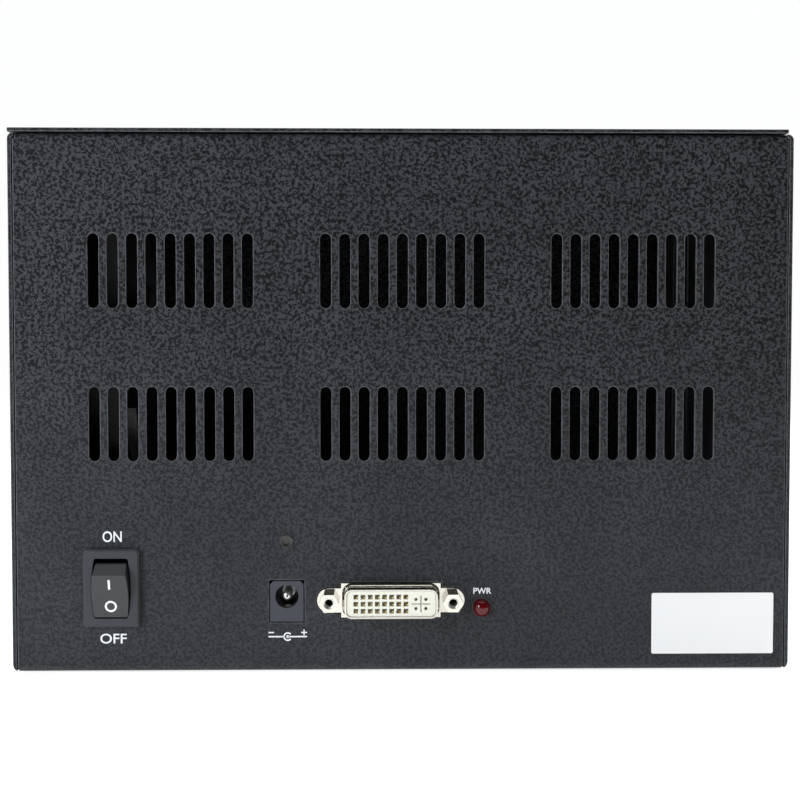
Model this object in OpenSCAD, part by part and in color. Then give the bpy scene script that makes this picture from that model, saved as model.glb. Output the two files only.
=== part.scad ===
// Expansion chassis for four PCI Express cards: a folded steel case with its own fan and supply.
// Millimetres. +X is to the right of the connector panel, -Y points out of it and +Z is up.
// The origin is the centre of the case's underside.

/* [Case] */
// Outside width, from the fan end to the card end
case_w = 210; // [205:1:240]
// Outside depth, from the connector panel to the rear wall
case_d = 118; // [116:1:150]
// Outside height, with the lid
case_h = 146; // [144:1:170]
// Thickness of the steel sheet
sheet_t = 1; // [0.8:0.1:1.2]
// Outer radius of the bends at the base
base_bend_r = 2.2; // [1.8:0.1:3]
// Outer radius of the bends at the top and rear edges
top_bend_r = 1.6; // [1.5:0.1:2.4]
// Width of the seams between the folded walls
wall_seam = 0.35; // [0.25:0.05:0.6]
// Length of the flanges turned in from the walls
flange_l = 10; // [9:0.5:12]
// Gap between the cover and the tray
lid_gap = 0.3; // [0.2:0.05:0.5]
// How far the cover stops short of the card end
lid_short = 1.35; // [0.5:0.05:2]
// Height of the lip along the rear of the base
rear_lip_h = 12; // [10:1:18]
// Width of each hook at the foot of the cover
hook_w = 16; // [10:1:24]
// How far each cover hook reaches down behind the rear lip
hook_drop = 7; // [5:0.5:9]

/* [Vents] */
// Length of a vent slot
vent_l = 20; // [12:0.5:24]
// Width of a vent slot
vent_w = 3; // [2:0.1:3.6]
// Spacing of the slots in a group
vent_pitch = 5.14; // [4.8:0.02:5.4]
// Slots in a group
vent_slots = 9; // [3:1:10]
// Spacing of the groups
vent_group_pitch = 62; // [58:1:64]
// Height of the lower row's centre
vent_row_z = 67.1; // [62:0.5:72]
// Spacing of the two rows
vent_row_pitch = 41; // [36:0.5:44]

/* [Connector panel] */
// Switch centre, left of the panel's middle
switch_x = -78.2; // [-82:0.1:-70]
// Switch centre, above the table
switch_z = 23; // [20:0.5:30]
// Power jack centre, left of the middle
jack_x = -31.2; // [-36:0.1:-28]
// Link receptacle centre, left of the middle
link_x = -3.1; // [-6:0.1:2]
// Power lamp centre, right of the middle
lamp_x = 21.5; // [20:0.1:30]
// Height of the lamp's axis above the board
lamp_rise = 3.6; // [3:0.1:6]
// Height of the earth stud
stud_z = 35.5; // [32:0.5:45]

/* [Rocker switch] */
// Width of the switch bezel
bezel_w = 15; // [14.4:0.1:17]
// Height of the switch bezel
bezel_h = 21; // [20.6:0.1:24]
// Thickness of the bezel in front of the panel
bezel_t = 1.8; // [1.4:0.1:2.4]
// Half angle that the rocker swings through
rocker_tilt = 15; // [12:0.5:15]
// Distance from the rocker's pivot to its face
rocker_arm = 7.15; // [6.8:0.05:7.4]
// Half length of the rocker's face
rocker_face = 6.05; // [5.6:0.05:6.1]
// Radius of the rocker's pivot pins
rocker_pin_r = 1; // [0.8:0.1:1.4]

/* [Power jack] */
// Width of the jack
jack_w = 9; // [8.5:0.1:11]
// Height of the jack
jack_h = 11; // [10:0.1:13]
// Length of the jack behind its face
jack_l = 14.2; // [12:0.1:14.6]
// Radius of the plug hole
jack_bore_r = 3.15; // [2.9:0.05:3.6]
// Depth of the plug hole
jack_bore_l = 10; // [9:0.1:11]
// Height of the plug hole above the board
jack_bore_rise = 6.8; // [6:0.1:7]
// Radius of the centre pin
jack_pin_r = 1.25; // [1:0.05:1.3]

/* [Link receptacle] */
// Height of the receptacle's centre above the board
link_rise = 5.65; // [5:0.05:6.5]
// Width of the receptacle's shell
link_shell_w = 24.9; // [24:0.1:26]
// Height of the shell
link_shell_h = 7.8; // [7.4:0.1:8.6]
// How far the shell stands out of its face plate
link_shell_l = 5.8; // [4.5:0.1:6.5]
// Spacing of the two jack screws
link_screw_pitch = 33.3; // [32.8:0.1:34]
// Radius of the thread in each jack screw
link_thread_r = 1.42; // [1.2:0.02:1.5]
// Spacing of the contact holes
link_contact_pitch = 1.905; // [1.85:0.005:1.95]

/* [Backplane] */
// Width of the board, left to right
board_w = 147; // [140:1:150]
// Depth of the board, front to rear
board_d = 112; // [108:1:113]
// Thickness of the board
board_t = 1.6; // [1.2:0.1:2]
// Height of the board's upper face above the table
board_top = 13.6; // [12:0.1:16]
// Right edge of the board, from the middle of the case
board_right = 85; // [80:1:86]

/* [Card slots] */
// Spacing of the card slots
card_pitch = 20.32; // [20:0.02:20.8]
// Length of a card socket
socket_l = 89; // [80:1:92]
// Width of a card socket
socket_w = 7.5; // [7:0.1:9]
// Height of a card socket
socket_h = 11.25; // [10:0.25:13]
// Distance from the slot covers to the sockets
socket_inset = 45; // [42:1:50]
// Width of a slot cover
bracket_w = 18.42; // [17.5:0.02:18.8]
// Height of a slot cover, with its tab
bracket_h = 120; // [116:0.5:121]
// Thickness of a slot cover
bracket_t = 0.86; // [0.8:0.02:1]
// Length of the tab that the screw holds
bracket_tab = 11.4; // [10.5:0.1:12]
// Width of the tongue at a slot cover's foot
bracket_tongue = 10.2; // [8:0.1:12]
// Height of the tabs above the board
bracket_rise = 113.2; // [112.5:0.1:114]

/* [Fan] */
// Side of the fan's square frame
fan_size = 80; // [76:1:82]
// Thickness of the fan
fan_t = 25; // [24:0.5:27]
// Spacing of the fan's screw holes
fan_hole_pitch = 71.5; // [68:0.5:72]
// Height of the fan's axis
fan_z = 86; // [82:0.5:92]
// Radius of the air duct
duct_r = 38; // [36:0.5:38.5]
// Radius of the rotor's hub
hub_r = 17.5; // [15:0.5:20]
// Number of blades
blades = 7; // [5:1:9]
// Turn of each blade from end to end
blade_twist = 34; // [20:1:40]
// Radius of the fan's shaft
shaft_r = 1.5; // [1:0.1:2]
// Radial clearance of the shaft in its bearing
shaft_clear = 0.03; // [0.02:0.01:0.06]

/* [Screws] */
// Radius of the screw threads
screw_r = 1.5; // [1.2:0.1:1.6]
// Radius of a board or stud screw's head
screw_head_r = 2.9; // [2.6:0.1:3.2]
// Height of a screw head
screw_head_h = 1.9; // [1.4:0.1:2.4]

/* [Hidden] */
$fn = 48;
over = 0.05;
fit_gap = 0.05;
bend_steps = 6;
paint = [0.17, 0.18, 0.2];
zinc = [0.72, 0.73, 0.74];
nickel = [0.79, 0.78, 0.74];
brass = [0.8, 0.66, 0.36];
black = [0.1, 0.1, 0.11];
cream = [0.94, 0.93, 0.86];
board_green = [0.07, 0.27, 0.16];

left_x = -case_w / 2;
right_x = case_w / 2;
front_y = -case_d / 2;
rear_y = case_d / 2;
panel_in = front_y + sheet_t;
tray_rear = rear_y - sheet_t - lid_gap;
tray_h = case_h - sheet_t - lid_gap;
panel_half = case_w / 2 - sheet_t - wall_seam;
board_bottom = board_top - board_t;
board_left = board_right - board_w;
board_front = panel_in + 0.8 * sheet_t;
board_rear = board_front + board_d;
shelf_top = board_top + bracket_rise - bracket_t;

// An arc's points about a centre, from one angle to another
function arc(x, y, r, from, to, steps = bend_steps) =
    [for (i = [0:steps]) let (a = from + (to - from) * i / steps) [x + r * cos(a), y + r * sin(a)]];
function reversed(list) = [for (i = [len(list) - 1:-1:0]) list[i]];

// A folded sheet's outline: its outer line, then its inner line back again
module strip(outer, inner) {
    polygon(concat(outer, reversed(inner)));
}

// An outline in Y and Z, drawn out along X
module along_x(x, l) {
    translate([x, 0, 0]) rotate([90, 0, 90]) linear_extrude(l) children();
}

// An outline in X and Z, drawn out along Y
module along_y(y, l) {
    translate([0, y + l, 0]) rotate([90, 0, 0]) linear_extrude(l) children();
}

// Children stand on a face that looks out of the front, the left end or the right end
module on_front(x, y, z) {
    translate([x, y, z]) rotate([90, 0, 0]) children();
}

module on_left(x, y, z) {
    translate([x, y, z]) rotate([90, 0, -90]) children();
}

module on_right(x, y, z) {
    translate([x, y, z]) rotate([90, 0, 90]) children();
}

// A bar between two X, two Y and two Z values
module block(x0, x1, y0, y1, z0, z1) {
    translate([x0, y0, z0]) cube([x1 - x0, y1 - y0, z1 - z0]);
}

module hexagon(across_flats, h) {
    cylinder(d = across_flats / cos(30), h = h, $fn = 6);
}

// A rectangle about the origin with round corners
module round_rect(w, h, r) {
    polygon(concat(arc(w / 2 - r, h / 2 - r, r, 0, 90), arc(r - w / 2, h / 2 - r, r, 90, 180),
        arc(r - w / 2, r - h / 2, r, 180, 270), arc(w / 2 - r, r - h / 2, r, 270, 360)));
}

// A sheet-metal slot with round ends, upright
module vent_outline() {
    union() {
        square([vent_w, vent_l - vent_w], center = true);
        for (end = [-1, 1]) translate([0, end * (vent_l - vent_w) / 2]) circle(d = vent_w);
    }
}

// All six groups of slots, cut through a wall whose outer face is at y
module vent_cuts(y) {
    first = -(vent_slots - 1) / 2;
    for (group = [-1:1], row = [0, 1], slot = [0:vent_slots - 1]) {
        x = group * vent_group_pitch + (first + slot) * vent_pitch;
        on_front(x, y + sheet_t + over, vent_row_z + row * vent_row_pitch)
            linear_extrude(sheet_t + 2 * over) vent_outline();
    }
}

// Case

// The end walls with the base between them: the fold lines run front to rear
function wall_line(inset) = concat(
    [[left_x + flange_l, tray_h - inset]],
    arc(left_x + top_bend_r, tray_h - top_bend_r, top_bend_r - inset, 90, 180),
    arc(left_x + base_bend_r, base_bend_r, base_bend_r - inset, 180, 270),
    arc(right_x - base_bend_r, base_bend_r, base_bend_r - inset, 270, 360),
    arc(right_x - top_bend_r, tray_h - top_bend_r, top_bend_r - inset, 0, 90),
    [[right_x - flange_l, tray_h - inset]]);

// The connector panel, the base and the rear lip: the fold lines run left to right
function panel_line(inset) = concat(
    [[front_y + flange_l, tray_h - inset]],
    arc(front_y + top_bend_r, tray_h - top_bend_r, top_bend_r - inset, 90, 180),
    arc(front_y + base_bend_r, base_bend_r, base_bend_r - inset, 180, 270),
    arc(tray_rear - base_bend_r, base_bend_r, base_bend_r - inset, 270, 360),
    [[tray_rear - inset, rear_lip_h]]);

// The flange turned in at the rear of an end wall, seen from above
function rear_flange_line(inset) = concat(
    [[left_x + inset, tray_rear - flange_l]],
    arc(left_x + top_bend_r, tray_rear - top_bend_r, top_bend_r - inset, 180, 90),
    [[left_x + flange_l, tray_rear - inset]]);

module end_walls() {
    inner_half = case_w / 2 - sheet_t;
    bend_half = case_w / 2 - top_bend_r;
    difference() {
        along_y(front_y, tray_rear - front_y) strip(wall_line(0), wall_line(sheet_t));
        block(-inner_half, inner_half, front_y - over, front_y + base_bend_r, -over, base_bend_r);
        block(-inner_half, inner_half, tray_rear - base_bend_r, tray_rear + over, -over, base_bend_r);
        block(-bend_half, bend_half, front_y - over, front_y + flange_l + wall_seam,
            tray_h - top_bend_r, tray_h + over);
        block(left_x - over, right_x + over, tray_rear - top_bend_r, tray_rear + over,
            rear_lip_h + wall_seam, tray_h - top_bend_r);
    }
}

module panel_and_base() {
    bend_half = case_w / 2 - top_bend_r - wall_seam;
    difference() {
        along_x(-panel_half, 2 * panel_half) strip(panel_line(0), panel_line(sheet_t));
        for (side = [0, 1]) mirror([side, 0, 0]) {
            block(bend_half, panel_half + over, front_y - over, front_y + flange_l + over,
                tray_h - top_bend_r, tray_h + over);
            block(case_w / 2 - base_bend_r, panel_half + over, front_y + base_bend_r,
                tray_rear - base_bend_r, -over, base_bend_r);
        }
    }
}

module rear_flanges() {
    z = rear_lip_h + wall_seam;
    for (side = [0, 1]) mirror([side, 0, 0]) translate([0, 0, z])
        linear_extrude(tray_h - top_bend_r - wall_seam - z)
            strip(rear_flange_line(0), rear_flange_line(sheet_t));
}

// Rings of arc slots over the fan, with four spokes left between them
grille_rings = 6;
grille_slot_share = 0.62;
grille_spoke = 3.2;
grille_pitch = duct_r * 0.94 / (grille_rings + 0.5);

module grille_cuts() {
    on_left(left_x + sheet_t + over, 0, fan_z) for (ring = [1:grille_rings]) difference() {
        cylinder(r = ring * grille_pitch + grille_slot_share * grille_pitch, h = sheet_t + 2 * over);
        translate([0, 0, -over]) cylinder(r = ring * grille_pitch, h = sheet_t + 4 * over);
        for (turn = [45, 135]) rotate([0, 0, turn])
            translate([-duct_r, -grille_spoke / 2, -over]) cube([2 * duct_r, grille_spoke, sheet_t + 4 * over]);
    }
}

// Places of the four fan screws about the fan's axis
module at_fan_holes() {
    for (y = [-1, 1], z = [-1, 1]) translate([y * fan_hole_pitch / 2, z * fan_hole_pitch / 2, 0]) children();
}

fan_screw_hole_r = 2.15;

// The card end's window, through which the slot covers show
frame_half = 2 * card_pitch + 1.2 * sheet_t;
window_half = frame_half - 2 * sheet_t;
window_below = 5;
window_low = board_top - window_below;
window_high = shelf_top - 2.4 * sheet_t;

// Cover screws: two in the front flange and two in the end walls' flanges
cover_screw_x = case_w / 2 - flange_l / 2;
cover_screw_front = [case_w / 2 - 1.4 * flange_l, front_y + flange_l / 2];
cover_screw_rear = [cover_screw_x, rear_y - 1.3 * flange_l];
screw_clear = 0.15;
screw_clear_r = screw_r + screw_clear;

module at_cover_screws(z) {
    for (side = [0, 1], place = [cover_screw_front, cover_screw_rear])
        mirror([side, 0, 0]) translate([place[0], place[1], z]) children();
}

// Board pillars: three along the front and three along the rear
pillar_edge = 5;
pillar_x_shares = [0, 0.62, 1];
pillar_r = 2.4;
pillar_foot_r = 2;

module at_pillars(z) {
    for (share = pillar_x_shares, y = [board_front + 1.5 * pillar_edge, board_rear - pillar_edge])
        translate([board_left + pillar_edge + share * (board_w - 2 * pillar_edge), y, z]) children();
}

module chassis_tray() color(paint) difference() {
    union() {
        end_walls();
        panel_and_base();
        rear_flanges();
    }
    vent_cuts(front_y);
    grille_cuts();
    on_left(left_x + sheet_t + over, 0, fan_z) at_fan_holes()
        cylinder(r = fan_screw_hole_r, h = sheet_t + 2 * over);
    on_front(switch_x, panel_in + over, switch_z) translate([-switch_cut_w / 2, -switch_cut_h / 2, 0])
        cube([switch_cut_w, switch_cut_h, sheet_t + 2 * over]);
    on_front(jack_x, panel_in + over, jack_mid_z) translate([-jack_cut_w / 2, -jack_cut_h / 2, 0])
        cube([jack_cut_w, jack_cut_h, sheet_t + 2 * over]);
    on_front(link_x, panel_in + over, link_z) linear_extrude(sheet_t + 2 * over)
        link_plate_outline(link_cut_gap);
    on_front(lamp_x, panel_in + over, lamp_z) cylinder(r = lamp_r + lamp_gap, h = sheet_t + 2 * over);
    on_front(jack_x, panel_in + over, stud_z) cylinder(r = stud_head_r + fit_gap, h = sheet_t + 2 * over);
    block(right_x - 2 * sheet_t, right_x + over, -window_half, window_half, window_low, window_high);
    at_cover_screws(tray_h - sheet_t - over) cylinder(r = screw_clear_r, h = sheet_t + 2 * over);
    at_pillars(-over) cylinder(r = pillar_foot_r + fit_gap, h = sheet_t + 2 * over);
}

// The cover: the lid and the rear wall, with hooks that drop behind the rear lip
cover_foot = base_bend_r + 0.5 * sheet_t;
cover_csk_r = 2.9;

function cover_line(inset) = concat(
    [[front_y, case_h - inset]],
    arc(rear_y - top_bend_r, case_h - top_bend_r, top_bend_r - inset, 90, 0),
    [[rear_y - inset, cover_foot]]);

module cover() color(paint) {
    hook_y = tray_rear - sheet_t - lid_gap;
    difference() {
        union() {
            along_x(left_x, case_w - lid_short) strip(cover_line(0), cover_line(sheet_t));
            for (x = [-1:1]) translate([x * vent_group_pitch, 0, 0]) {
                block(-hook_w / 2, hook_w / 2, hook_y - sheet_t, rear_y - sheet_t + over,
                    rear_lip_h + lid_gap, rear_lip_h + lid_gap + sheet_t);
                block(-hook_w / 2, hook_w / 2, hook_y - sheet_t, hook_y,
                    rear_lip_h - hook_drop, rear_lip_h + lid_gap + over);
            }
        }
        at_cover_screws(case_h - sheet_t - over)
            cylinder(r1 = screw_clear_r, r2 = cover_csk_r, h = sheet_t + over);
        at_cover_screws(case_h - over) cylinder(r = cover_csk_r, h = 2 * over);
    }
}

// Flush screws, which lift away with the cover
cover_screw_l = 6.5;
nut_h = 2.4;
nut_flats = 5.5;

module cover_screws() color(black) at_cover_screws(0) difference() {
    union() {
        translate([0, 0, case_h - sheet_t]) cylinder(r1 = screw_r, r2 = cover_csk_r - fit_gap, h = sheet_t);
        translate([0, 0, case_h - cover_screw_l]) cylinder(r = screw_r, h = cover_screw_l - 0.5 * sheet_t);
    }
    translate([0, 0, case_h - 0.6 * sheet_t]) {
        cube([2.4 * screw_r, 0.5 * screw_r, 2 * sheet_t], center = true);
        cube([0.5 * screw_r, 2.4 * screw_r, 2 * sheet_t], center = true);
    }
}

module cover_nuts() color(zinc) at_cover_screws(tray_h - sheet_t - nut_h) difference() {
    hexagon(nut_flats, nut_h);
    translate([0, 0, -over]) cylinder(r = screw_r + fit_gap, h = nut_h + 2 * over);
}

// Card end

frame_face = right_x - sheet_t - bracket_tab - 0.4 * sheet_t;
channel_gap = 2.4 * bracket_t;
channel_h = 8.5;
frame_lip = 8;
card_mid_y = 1.6;
card_side = 6.1;
opening_w = 12.4;
opening_rise = 3;
opening_drop = 8;
opening_low = board_top + opening_rise;
opening_high = shelf_top - opening_drop;

function card_y(i) = card_mid_y - card_side + (i - 2.5) * card_pitch;
function bracket_y(i) = card_y(i) + card_side;

// The folded frame that carries the slot covers: a channel at its foot takes their tongues
function frame_line(inset) = concat(
    [[frame_face - 2 * sheet_t - channel_gap + inset, sheet_t + channel_h]],
    [[frame_face - 2 * sheet_t - channel_gap + inset, sheet_t + inset]],
    arc(frame_face - top_bend_r, sheet_t + top_bend_r, top_bend_r - inset, 270, 360),
    [[frame_face - inset, shelf_top - sheet_t + inset]]);

module card_frame() color(zinc) difference() {
    union() {
        along_y(card_mid_y - frame_half, 2 * frame_half) union() {
            strip(frame_line(0), frame_line(sheet_t));
            translate([frame_face - sheet_t, shelf_top - sheet_t])
                square([right_x - frame_face, sheet_t]);
            translate([right_x - 2 * sheet_t, shelf_top - frame_lip]) square([sheet_t, frame_lip]);
        }
        for (y = [card_mid_y - frame_half, card_mid_y + frame_half - sheet_t])
            block(frame_face - sheet_t, right_x - sheet_t, y, y + sheet_t, sheet_t + top_bend_r, shelf_top);
    }
    for (i = [1:4]) {
        block(frame_face - 2 * sheet_t, frame_face + over, bracket_y(i) - opening_w / 2,
            bracket_y(i) + opening_w / 2, opening_low, opening_high);
        translate([slot_screw_x, bracket_y(i) + slot_screw_off, shelf_top - sheet_t - over])
            cylinder(r = screw_r + fit_gap, h = sheet_t + 2 * over);
    }
    block(right_x - 3 * sheet_t, right_x, -window_half, window_half, 0, window_high);
}

bracket_face = frame_face - sheet_t;
tongue_h = 9;
shoulder_h = 3;
notch_r = 2.2;
slot_screw_x = frame_face + 0.5 * bracket_tab;
slot_screw_off = 6.4;
slot_screw_l = 6;
slot_head_r = 3.9;
slot_head_h = 2.2;

// A blank slot cover: tongue, shoulders and body, with its tab folded out over the shelf
module slot_cover(i) color(zinc) {
    foot = shelf_top + bracket_t - bracket_h;
    half = bracket_w / 2;
    tongue = bracket_tongue / 2;
    top = shelf_top + bracket_t;
    difference() {
        union() {
            translate([0, bracket_y(i), 0]) along_x(bracket_face - bracket_t, bracket_t)
                polygon([[-tongue + bracket_t, foot], [tongue - bracket_t, foot],
                    [tongue, foot + 2 * bracket_t], [tongue, foot + tongue_h],
                    [half, foot + tongue_h + shoulder_h], [half, top], [-half, top],
                    [-half, foot + tongue_h + shoulder_h], [-tongue, foot + tongue_h],
                    [-tongue, foot + 2 * bracket_t]]);
            block(bracket_face - bracket_t, bracket_face + bracket_tab, bracket_y(i) - half,
                bracket_y(i) + half, shelf_top, top);
        }
        translate([slot_screw_x, bracket_y(i) + slot_screw_off, shelf_top - over])
            cylinder(r = notch_r, h = bracket_t + 2 * over);
        block(slot_screw_x - notch_r, slot_screw_x + notch_r, bracket_y(i) + slot_screw_off,
            bracket_y(i) + half + over, shelf_top - over, top + over);
    }
}

module slot_screws() color(zinc) for (i = [1:4])
    translate([slot_screw_x, bracket_y(i) + slot_screw_off, shelf_top + bracket_t]) difference() {
        union() {
            cylinder(r = slot_head_r, h = 0.3 * slot_head_h);
            cylinder(r = 0.8 * slot_head_r, h = slot_head_h);
            translate([0, 0, bracket_t - slot_screw_l]) cylinder(r = screw_r, h = slot_screw_l - bracket_t + over);
        }
        translate([0, 0, slot_head_h]) {
            cube([1.1 * slot_head_r, 0.25 * slot_head_r, slot_head_h], center = true);
            cube([0.25 * slot_head_r, 1.1 * slot_head_r, slot_head_h], center = true);
        }
    }

// Fan: its axis runs along X and its rotor faces into the case

fan_wall = left_x + sheet_t;
fan_flange_t = 4;
fan_corner_r = 5;
duct_wall = 1.6;
hub_gap = 0.9;
hub_wall = 1.6;
strut_w = 4;
strut_t = 3;
bearing_r = 3;
bearing_wall = 1.3;
bearing_l = 15;
magnet_t = 1.2;
stator_gap = 0.5;
stator_r = hub_r - hub_wall - magnet_t - stator_gap;
blade_gap = 0.9;
blade_t = 1.5;
blade_lean = 26;
strut_turn = 20;
rotor_start = strut_t + hub_gap;
rotor_l = fan_t - rotor_start - hub_gap;

// Children stand on the inner face of the left end, with local Z running into the case
module on_fan_axis() {
    translate([fan_wall, 0, fan_z]) rotate([90, 0, 90]) children();
}

module fan_plate(z) {
    translate([0, 0, z]) linear_extrude(fan_flange_t) round_rect(fan_size, fan_size, fan_corner_r);
}

module fan_frame() color(black) on_fan_axis() difference() {
    union() {
        difference() {
            union() {
                fan_plate(0);
                fan_plate(fan_t - fan_flange_t);
                cylinder(r = duct_r + duct_wall, h = fan_t);
            }
            translate([0, 0, -over]) cylinder(r = duct_r, h = fan_t + 2 * over, $fn = 96);
        }
        cylinder(r = hub_r, h = strut_t);
        for (turn = [0:90:270]) rotate([0, 0, turn + strut_turn])
            translate([0.8 * hub_r, -strut_w / 2, 0]) cube([duct_r + 0.5 * duct_wall - 0.8 * hub_r, strut_w, strut_t]);
        cylinder(r = bearing_r + fit_gap + bearing_wall, h = bearing_l + strut_t);
    }
    translate([0, 0, strut_t / 2]) cylinder(r = bearing_r + fit_gap, h = bearing_l + strut_t);
    at_fan_holes() translate([0, 0, -over]) cylinder(r = fan_screw_hole_r, h = fan_t + 2 * over);
}

module fan_bearing() color(brass) on_fan_axis() translate([0, 0, strut_t / 2]) difference() {
    cylinder(r = bearing_r, h = bearing_l + strut_t / 2);
    translate([0, 0, -over]) cylinder(r = shaft_r + shaft_clear, h = bearing_l + strut_t);
}

// Four wound poles round the bearing tube
module fan_stator() color([0.62, 0.33, 0.16]) on_fan_axis() translate([0, 0, strut_t + 1.5 * hub_gap]) {
    coil_l = 0.5 * bearing_l;
    tube_r = bearing_r + bearing_wall + 2 * fit_gap;
    difference() {
        union() {
            cylinder(r = tube_r + 1.2 * bearing_wall, h = coil_l);
            for (turn = [0:90:270]) rotate([0, 0, turn]) {
                translate([0, -bearing_r, 0.1 * coil_l]) cube([0.8 * stator_r, 2 * bearing_r, 0.8 * coil_l]);
                intersection() {
                    difference() {
                        cylinder(r = stator_r, h = coil_l);
                        translate([0, 0, -over]) cylinder(r = 0.78 * stator_r, h = coil_l + 2 * over);
                    }
                    translate([0, -0.6 * stator_r, 0]) cube([stator_r, 1.2 * stator_r, coil_l]);
                }
            }
        }
        translate([0, 0, -over]) cylinder(r = tube_r, h = coil_l + 2 * over);
    }
}

// A curved blade's cross-section, seen along the axis: a bent strip from the hub outwards
module blade_outline() {
    reach = duct_r - blade_gap;
    root = hub_r - 0.5 * hub_wall;
    steps = 5;
    function lean(r) = blade_lean * (r - root) / reach;
    polygon(concat(
        [for (i = [0:steps]) let (r = root + (reach - root) * i / steps) [r * cos(lean(r)), r * sin(lean(r))]],
        [for (i = [steps:-1:0]) let (r = root + (reach - root) * i / steps, a = lean(r) + blade_t / r * 180 / PI)
            [r * cos(a), r * sin(a)]]));
}

module fan_rotor() color(black) on_fan_axis() translate([0, 0, rotor_start]) difference() {
    union() {
        cylinder(r = hub_r, h = rotor_l);
        for (i = [0:blades - 1]) rotate([0, 0, 360 * i / blades]) translate([0, 0, 0.06 * rotor_l])
            linear_extrude(0.86 * rotor_l, twist = blade_twist, slices = 6) blade_outline();
    }
    translate([0, 0, -over]) cylinder(r = hub_r - hub_wall, h = rotor_l - 1.4 * hub_wall);
    translate([0, 0, -over]) cylinder(r = shaft_r + fit_gap, h = rotor_l - 0.6 * hub_wall);
}

module fan_magnet() color([0.22, 0.2, 0.2]) on_fan_axis() translate([0, 0, rotor_start + hub_wall]) difference() {
    cylinder(r = hub_r - hub_wall - fit_gap, h = 0.6 * rotor_l);
    translate([0, 0, -over]) cylinder(r = hub_r - hub_wall - magnet_t, h = 0.6 * rotor_l + 2 * over);
}

module fan_shaft() color(zinc) on_fan_axis() translate([0, 0, strut_t])
    cylinder(r = shaft_r, h = rotor_start - strut_t + rotor_l - 0.6 * hub_wall - fit_gap);

fan_screw_head_r = 3.6;
fan_screw_head_h = 1.8;
fan_screw_l = 10;

module fan_screws() color(black) on_left(left_x, 0, fan_z) at_fan_holes() difference() {
    union() {
        cylinder(r1 = fan_screw_head_r, r2 = 0.7 * fan_screw_head_r, h = fan_screw_head_h);
        translate([0, 0, -fan_screw_l]) cylinder(r = fan_screw_hole_r - fit_gap, h = fan_screw_l + over);
    }
    translate([0, 0, fan_screw_head_h]) {
        cube([1.1 * fan_screw_head_r, 0.25 * fan_screw_head_r, fan_screw_head_h], center = true);
        cube([0.25 * fan_screw_head_r, 1.1 * fan_screw_head_r, fan_screw_head_h], center = true);
    }
}

// Backplane

module backplane_board() color(board_green) difference() {
    block(board_left, board_right, board_front, board_rear, board_bottom, board_top);
    at_pillars(board_bottom - over) cylinder(r = screw_clear_r, h = board_t + 2 * over);
}

module board_standoffs() color(brass) at_pillars(0) difference() {
    union() {
        cylinder(r = pillar_foot_r, h = sheet_t + over);
        translate([0, 0, sheet_t]) hexagon(2 * pillar_r, board_bottom - sheet_t);
    }
    translate([0, 0, board_bottom - pillar_edge]) cylinder(r = screw_r + fit_gap, h = pillar_edge + over);
}

module board_screws() color(zinc) at_pillars(board_top) difference() {
    union() {
        cylinder(r = screw_head_r, h = screw_head_h);
        translate([0, 0, 2 * over - pillar_edge]) cylinder(r = screw_r, h = pillar_edge);
    }
    translate([0, 0, screw_head_h]) {
        cube([1.1 * screw_head_r, 0.25 * screw_head_r, screw_head_h], center = true);
        cube([0.25 * screw_head_r, 1.1 * screw_head_r, screw_head_h], center = true);
    }
}

// A card socket: the key splits its groove into a short and a long part
socket_groove_w = 1.8;
socket_groove_h = 8.4;
socket_end = 1.4;
socket_short = 12.2;
socket_key = 1.9;

module card_socket(i) color(black) {
    x1 = bracket_face - socket_inset;
    x0 = x1 - socket_l;
    y = card_y(i);
    top = board_top + socket_h;
    low = top - socket_groove_h;
    key = x1 - socket_end - socket_short;
    difference() {
        union() {
            block(x0, x1, y - socket_w / 2, y + socket_w / 2, board_top, top);
            block(x0 - socket_end, x1 + socket_end, y - socket_w / 3, y + socket_w / 3, board_top, top);
        }
        block(x0 + socket_end, key - socket_key, y - socket_groove_w / 2, y + socket_groove_w / 2, low, top + over);
        block(key, x1 - socket_end, y - socket_groove_w / 2, y + socket_groove_w / 2, low, top + over);
    }
}

// The bridge chip with its finned heat sink, behind the last slot
chip_w = 20;
chip_h = 2.2;
chip_x_share = 0.42;
chip_x = board_left + chip_x_share * board_w;
sink_w = 22;
chip_y = board_rear - sink_w / 2 - 0.25 * pillar_edge;
sink_base = 2;
sink_h = 10;
sink_fins = 9;
sink_fin_t = 1;

module bridge_chip() color(black)
    block(chip_x - chip_w / 2, chip_x + chip_w / 2, chip_y - chip_w / 2, chip_y + chip_w / 2,
        board_top, board_top + chip_h);

module bridge_heatsink() color([0.7, 0.71, 0.73]) translate([chip_x, chip_y, board_top + chip_h]) {
    step = (sink_w - sink_fin_t) / (sink_fins - 1);
    block(-sink_w / 2, sink_w / 2, -sink_w / 2, sink_w / 2, 0, sink_base);
    for (i = [0:sink_fins - 1]) translate([-sink_w / 2 + i * step, 0, 0])
        block(0, sink_fin_t, -sink_w / 2, sink_w / 2, sink_base - over, sink_h);
}

// Reservoir capacitors near the jack
cap_r = 4;
cap_h = 11.5;
cap_shares = [[0.12, 0.05], [0.05, 0.19], [0.05, 0.3], [0.05, 0.41], [0.05, 0.52]];

module capacitors() color([0.2, 0.2, 0.24]) for (share = cap_shares)
    translate([board_left + cap_r + share[0] * (board_w - 2 * cap_r),
        board_front + 2 * cap_r + share[1] * (board_d - 4 * cap_r), board_top]) {
        cylinder(r = cap_r, h = 0.08 * cap_h);
        translate([0, 0, 0.08 * cap_h - over]) cylinder(r = 0.93 * cap_r, h = 0.06 * cap_h + 2 * over);
        translate([0, 0, 0.14 * cap_h]) cylinder(r = cap_r, h = 0.86 * cap_h);
    }

// Moulded power inductors and flat regulators along the rear
coil_w = 10;
coil_h = 5;
coil_x_shares = [0.1, 0.22, 0.68];
regulator_w = 6.6;
regulator_h = 2.3;
regulator_x_shares = [0.74, 0.82, 0.9];

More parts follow.
